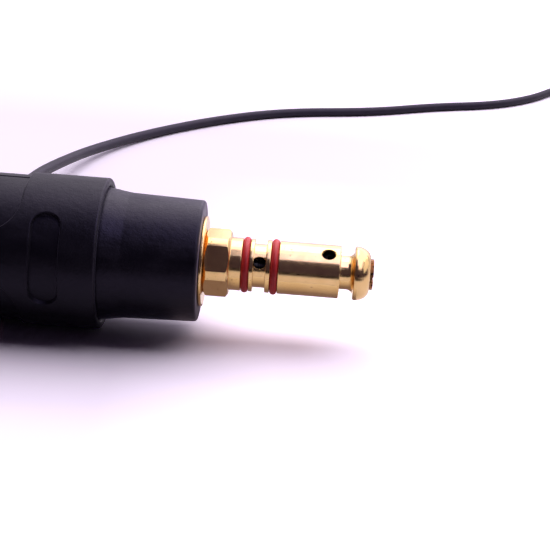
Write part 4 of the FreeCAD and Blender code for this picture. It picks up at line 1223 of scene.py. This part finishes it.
# %% Strain relief
relief_profile = [(18.65, 2.5, 0), (57.05, 2.5, 0), (57.05, 3.4, 0.3)]
first_slot, slot_pitch, slots, widening = 55.6, 2.75, 8, 0.112
for n in range(slots):
    y = first_slot - slot_pitch * n
    radius = 3.75 + (first_slot - y) * widening
    relief_profile += [(y, radius, 0.2), (y - 0.75, radius - 0.75, 0.15),
                       (y - 1.35, radius - 0.75, 0.15), (y - 1.75, radius + 0.1, 0.2)]
relief_profile += [(33.2, 6.15, 0.3), (28.9, 6.4, 0.3), (28.05, 6.4, 0.3), (28.05, 4.6, 0),
                   (21.15, 4.6, 0), (21.15, 6.6, 0.3), (18.65, 6.6, 0.3)]
relief = turned("strain_relief", softened(relief_profile, 3), rubber, (x_outlet, 0, 0), Y, 72)
break_edges(relief, 0)
place(relief, "root", "black_rubber", "lead_grommet")

# %% [markdown]
# ## Cable bushing
#
# The bushing is a rubber ring in the housing's rear end, where the torch's main cable would
# enter. Its mouth has a rounded lip, so that a cable wouldn't chafe on it.

# %% Cable bushing
cable_bore, bushing_radius = 8.2, 13.2
bushing = turned("cable_bushing", softened([
    (x_shell_rear + 13, cable_bore, 0.4), (x_shell_rear + 13, 12.2, 0.3),
    (-155.75, bushing_radius, 0.2), (-159.3, bushing_radius, 0), (-159.3, 11.6, 0),
    (-163.2, 11.6, 0), (-163.2, bushing_radius, 0), (x_shell_rear, bushing_radius, 0.3),
    (x_shell_rear - 0.4, 12.4, 0.3), (x_shell_rear - 0.4, 9.4, 0.5),
    (x_shell_rear + 1, cable_bore, 0.5)]), rubber, turns=120)
break_edges(bushing, 0)
place(bushing, "root", "black_rubber", "inlet_bushing")

# %% [markdown]
# ## Screws
#
# The fastenings are cold-headed steel with a thin bright zinc plate, which is bluish and has
# fine streaks. Four equal screws hold the shells, at the corners of a rectangle: one is made,
# and a Geometry Nodes tree repeats it on a grid. A second tree repeats a part on a circle.

# %% Zinc plate
zinc, tree, shader = new_finish("zinc_plated_steel", Metallic=1.0)
# The bath leaves streaks about 0.8 mm wide and 4 mm long.
streaks = grain(tree, 0.8, 4.0, (1, 0.2, 1))
add(tree, "ShaderNodeValToRGB", {"Fac": streaks}, stops=[(0.3, "A4A9AE"), (0.7, "C6CACD")],
    feeds={"Color": shader.inputs["Base Color"]})
add(tree, "ShaderNodeMapRange", {"Value": streaks, "To Min": 0.25, "To Max": 0.42},
    feeds={0: shader.inputs["Roughness"]})
add(tree, "ShaderNodeBump", {"Height": streaks, "Distance": 0.008 * mm},
    feeds={"Normal": shader.inputs["Normal"]})
print("made", zinc.name)

# %% [markdown]
# Both trees stand a mesh's points upright and put a copy of the base on each, so one function
# builds them. Only the mesh and the inputs that size it differ.

# %% Trees that repeat a part on a grid and on a circle
def repeating(name, inputs, kind, points, turn):
    """A tree that repeats its base on a mesh's points, which stand upright along X."""
    tree, given, end = new_tree(name, inputs + [("Middle", "Vector"), ("Material", "Material")])
    mesh = add(tree, kind, {socket: given[value] if isinstance(value, str) else value
                            for socket, value in points.items()}).outputs[0]
    rotation = add(tree, "ShaderNodeCombineXYZ", {
        "X": pi / 2, "Y": given[turn] if turn else 0}).outputs[0]
    stood = add(tree, "GeometryNodeTransform", {
        "Geometry": mesh, "Translation": given["Middle"], "Rotation": rotation}).outputs[0]
    copies = add(tree, "GeometryNodeInstanceOnPoints", {
        "Points": stood, "Instance": given["Base"]}).outputs[0]
    end_tree(tree, copies, given["Material"], end)
    return tree


grid_tree = repeating("repeat_on_grid", [("Length", "Float"), ("Height", "Float")],
                      "GeometryNodeMeshGrid", {"Size X": "Length", "Size Y": "Height",
                                               "Vertices X": 2, "Vertices Y": 2}, None)
circle_tree = repeating("repeat_on_circle",
                        [("Count", "Int"), ("Radius", "Float"), ("Turn", "Float")],
                        "GeometryNodeMeshCircle", {"Vertices": "Count", "Radius": "Radius"},
                        "Turn")
print("trees:", grid_tree.name, circle_tree.name)

# %% [markdown]
# A screw is turned, and its cross recess is cut with two boxes. All four are one piece.

# %% Housing screws
def block(low, high, material, rounding=0):
    """A box from its corners, in millimetres, with its upright edges rounded."""
    (x_low, y_low, z_low), (x_high, y_high, z_high) = low, high
    corners = [(x_low, y_low), (x_high, y_low), (x_high, y_high), (x_low, y_high)]
    outline = softened([(x, y, rounding) for x, y in corners], 5)
    count = len(outline)
    vertices = [(x, y, z) for z in (z_low, z_high) for x, y in outline]
    faces = [list(range(count)), [count + n for n in range(count)]]
    faces += [(n, (n + 1) % count, count + (n + 1) % count, count + n) for n in range(count)]
    return new_piece("block", vertices, faces, material)


screw = turned("screw", softened([
    (-1.8, 0, 0), (-1.8, 1.7, 0.6), (-1.2, 2.6, 0.5), (0, 2.6, 0.1), (0, 1.45, 0.1),
    (14.8, 1.45, 0.1), (16, 0.5, 0.1), (16, 0, 0)]), zinc, way=-Y, turns=48)
cut(screw, block((-1.6, 0.8, -0.35), (1.6, 3, 0.35), zinc),
    block((-0.35, 0.8, -1.6), (0.35, 3, 1.6), zinc))
break_edges(screw, 0.05)
settle(screw)
screws = grow("housing_screws", grid_tree, {
    "Length": 38 * mm, "Height": 35 * mm,
    "Middle": (-120.45 * mm, 8.55 * mm, 0), "Material": zinc}, base=screw)
place(screws, "root", "zinc_steel", "shell_screws")

# %% [markdown]
# ## Control plug and tie
#
# The lead's far end is a small black plug: a moulded body, an insert with four pins, a ribbed
# coupling ring that turns, and a clamp on its tail. It lies beside the coil, outside the
# camera's view, with the same care, because other views show it. Its parts are turned round
# its own axis, which runs towards the camera, and cut where the real ones are not round.

# %% Plug body
plug_end, plug_way, plug_turns = Vector((243, 458, -11.5)), -Y, 96
clamp_sides, clamp_y, clamp_hole = (238, 248), 451.5, 1.25
body = turned("control_plug_body", softened([
    (0, 2.45, 0.3), (13, 2.45, 0), (20, 8, 0), (36.5, 8, 0), (36.5, 9, 0), (51, 9, 0.15),
    (51, 10, 0.3), (32, 10, 0.1), (32, 11.6, 0.7), (27.6, 11.6, 0.15), (27.2, 11.2, 0.15),
    (26.2, 11.2, 0.15), (25.8, 11.6, 0.15), (18, 11.6, 0.7), (13, 6.2, 0.7), (0, 6.2, 0.5)]),
    nylon, plug_end, plug_way, plug_turns)
clamp_seat = block((232, 447.8, -7.9), (254, 455.2, -2), nylon)
cut(body, clamp_seat, *[peg(clamp_hole, (x, clamp_y, -17), Z, 14, nylon, 24)
                        for x in clamp_sides])
break_edges(body, 0.12)
place(body, "root", "black_nylon", "plug_shell")

# %% [markdown]
# The insert is a disc that holds four brass pins at the corners of a square. The pins are
# equal, so the circle tree repeats one of them.

# %% Insert and pins
pin_circle = 5.4
insert = turned("control_plug_insert", softened([
    (36.55, 0, 0), (44.5, 0, 0), (44.5, 8.95, 0.3), (36.55, 8.95, 0.1)]),
    nylon, plug_end, plug_way, plug_turns)
cut(insert, *[peg(1.05, plug_end + Vector((pin_circle * cos(t), -36, pin_circle * sin(t))),
                  plug_way, 10, nylon, 24)
              for t in (pi / 4, 3 * pi / 4, 5 * pi / 4, 7 * pi / 4)])
break_edges(insert, 0.08)
place(insert, "root", "black_nylon", "plug_insert")

pin = turned("pin", softened([(0, 0, 0), (0, 1, 0.1), (12.5, 1, 0.7), (12.5, 0, 0)]),
             brass, way=plug_way, turns=24)
pins = grow("control_plug_pins", circle_tree, {
    "Count": 4, "Radius": pin_circle * mm, "Turn": pi / 4,
    "Middle": (plug_end + Vector((0, -37.5, 0))) * mm, "Material": brass}, base=pin)
mend(pins)
place(pins, "root", "contact_brass", "plug_contacts")

# %% [markdown]
# The coupling ring turns freely on the body, so it rides on its own body of the model. Twenty
# half-round ribs give a grip, and they are sunk into the ring by half their thickness.

# %% Coupling ring and its ribs
coupling_radius = 13.1
barrel = turned("coupling_barrel", softened([
    (32.3, 10.1, 0), (35.3, 10.1, 0.2), (35.3, 11.3, 0.1), (52, 11.3, 0.3),
    (52, coupling_radius, 0.5), (32.3, coupling_radius, 0.5)]),
    nylon, plug_end, plug_way, plug_turns)
break_edges(barrel, 0)
rib = turned("rib", softened([(0, 0, 0), (0, 0.9, 0.6), (16.7, 0.9, 0.6), (16.7, 0, 0)]),
             nylon, way=plug_way, turns=16)
ribs = grow("coupling_ribs", circle_tree, {
    "Count": 20, "Radius": coupling_radius * mm, "Turn": pi / 2,
    "Middle": (plug_end + Vector((0, -33.8, 0))) * mm, "Material": nylon}, base=rib)
mend(ribs)
for piece in (barrel, ribs):
    place(piece, "coupling", "black_nylon", "plug_coupling_ring")

# %% [markdown]
# A small bar presses the lead into the plug's tail, held by two slotted screws. Each screw is
# turned and slotted where it sits, and the two meshes are joined into one piece.

# %% Clamp on the plug's tail
bar = block((235.6, 448, -7.85), (250.4, 455, -5.25), nylon, 1.5)
bar.name = "clamp_bar"
cut(bar, *[peg(clamp_hole, (x, clamp_y, -9), Z, 6, nylon, 24) for x in clamp_sides])
break_edges(bar, 0.25)
place(bar, "root", "black_nylon", "plug_clamp_bar")

pair = []
for x in clamp_sides:
    one = turned("clamp_screws", softened([
        (-6.2, 0, 0), (-6.2, 1.2, 0.2), (0, 1.2, 0), (0, 2.4, 0.1), (0.8, 2.4, 0.5),
        (1.4, 1.5, 0.4), (1.4, 0, 0)]), zinc, (x, clamp_y, -5.2), Z, 40)
    cut(one, block((230, 451.2, -4.6), (256, 451.8, -3), zinc))
    pair.append(one)
clamp_screws, spare = pair
joined = bmesh.new()
for one in pair:
    joined.from_mesh(one.data)
joined.to_mesh(clamp_screws.data)
joined.free()
bpy.data.objects.remove(spare)
break_edges(clamp_screws, 0.05)
place(clamp_screws, "root", "zinc_steel", "plug_clamp_screws")

# %% [markdown]
# A nylon strap holds the coil. It is a flat band round both layers of the lead, with a head
# on top and the strap's tail through it.

# %% Tie round the coil
strap_ends = (208.2, 215.8)
tie_outer = softened([(520.96, -25.35, 1.6), (533.85, -25.35, 1.6), (533.85, -13.2, 1.6),
                      (520.96, -13.2, 1.6)])
tie_inner = softened([(521.8, -24.5, 0.8), (533, -24.5, 0.8), (533, -14.05, 0.8),
                      (521.8, -14.05, 0.8)])
count = len(tie_outer)
vertices = [(x, y, z) for x in strap_ends for y, z in tie_outer + tie_inner]
faces = []
for n in range(count):
    # These pairs of the four loops are the two edges, the outside and the inside.
    for one, other in ((0, 1), (2, 3), (0, 2), (1, 3)):
        after = (n + 1) % count
        faces.append((one * count + n, one * count + after, other * count + after,
                      other * count + n))
tie = new_piece("coil_tie", vertices, faces, nylon)
cut(tie, block((207.6, 524.2, -14.2), (216.4, 530.4, -9.6), nylon, 0.6),
    block((strap_ends[0], 530, -13.4), (strap_ends[1], 541, -12.5), nylon, 0.6),
    operation="UNION")
break_edges(tie, 0.3)
place(tie, "root", "tie_nylon", "lead_tie")

# %% [markdown]
# ## What stays as the CAD made it
#
# A few parts are inside the housing and seen only through a gap, if at all. Their CAD shapes
# are right, so they stay and only get a finish: steel wire for the liner, PVC for the cores,
# vinyl for their splices, and the metals above.

# %% Finishes of the inner parts
coiled, tree, shader = new_finish("coiled_spring_steel", Metallic=1.0, Roughness=0.36)
# The liner is a wound spring, and its windings are drawn 0.6 mm apart.
windings = turning_marks(tree, 0.6)
add(tree, "ShaderNodeValToRGB", {"Fac": windings}, stops=[(0.35, "57585C"), (0.65, "8E9094")],
    feeds={"Color": shader.inputs["Base Color"]})
add(tree, "ShaderNodeBump", {"Height": windings, "Distance": 0.15 * mm},
    feeds={"Normal": shader.inputs["Normal"]})


def plain_plastic(name, dark, pale, roughness):
    """A smooth extruded plastic, whose colour drifts a little over about 1.2 mm."""
    material, tree, shader = new_finish(name, Roughness=roughness, IOR=1.54)
    cloud = grain(tree, 1.2)
    add(tree, "ShaderNodeValToRGB", {"Fac": cloud}, stops=[(0.3, dark), (0.7, pale)],
        feeds={"Color": shader.inputs["Base Color"]})
    add(tree, "ShaderNodeBump", {"Height": cloud, "Distance": 0.01 * mm},
        feeds={"Normal": shader.inputs["Normal"]})
    return material


core_pvc = plain_plastic("core_pvc", "A9A8A2", "BAB9B2", 0.35)
splice_vinyl = plain_plastic("splice_vinyl", "24427F", "2C4D92", 0.28)
# Black oxide is a thin dull film, blotched over about half a millimetre.
black_oxide, tree, shader = new_finish("black_oxide_steel", Metallic=1.0, Roughness=0.5)
add(tree, "ShaderNodeValToRGB", {"Fac": grain(tree, 0.5)},
    stops=[(0.3, "0E0E10"), (0.7, "1C1B1E")], feeds={"Color": shader.inputs["Base Color"]})
finishes = {"liner_grub_screw": black_oxide, "wire_liner": coiled, "cable_cone": brass,
            "cable_cone_nut": brass, "lead_inner_end": jacket, "signal_wires": core_pvc,
            "wire_splices": splice_vinyl}
for node, finish in finishes.items():
    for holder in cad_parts[node].material_slots:
        holder.material = finish
print("nodes kept:", sorted(finishes))

# %% [markdown]
# ## Sizes and the end
#
# The dressed model's box is measured at the end.

# %% Measure the sizes
low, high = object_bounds()
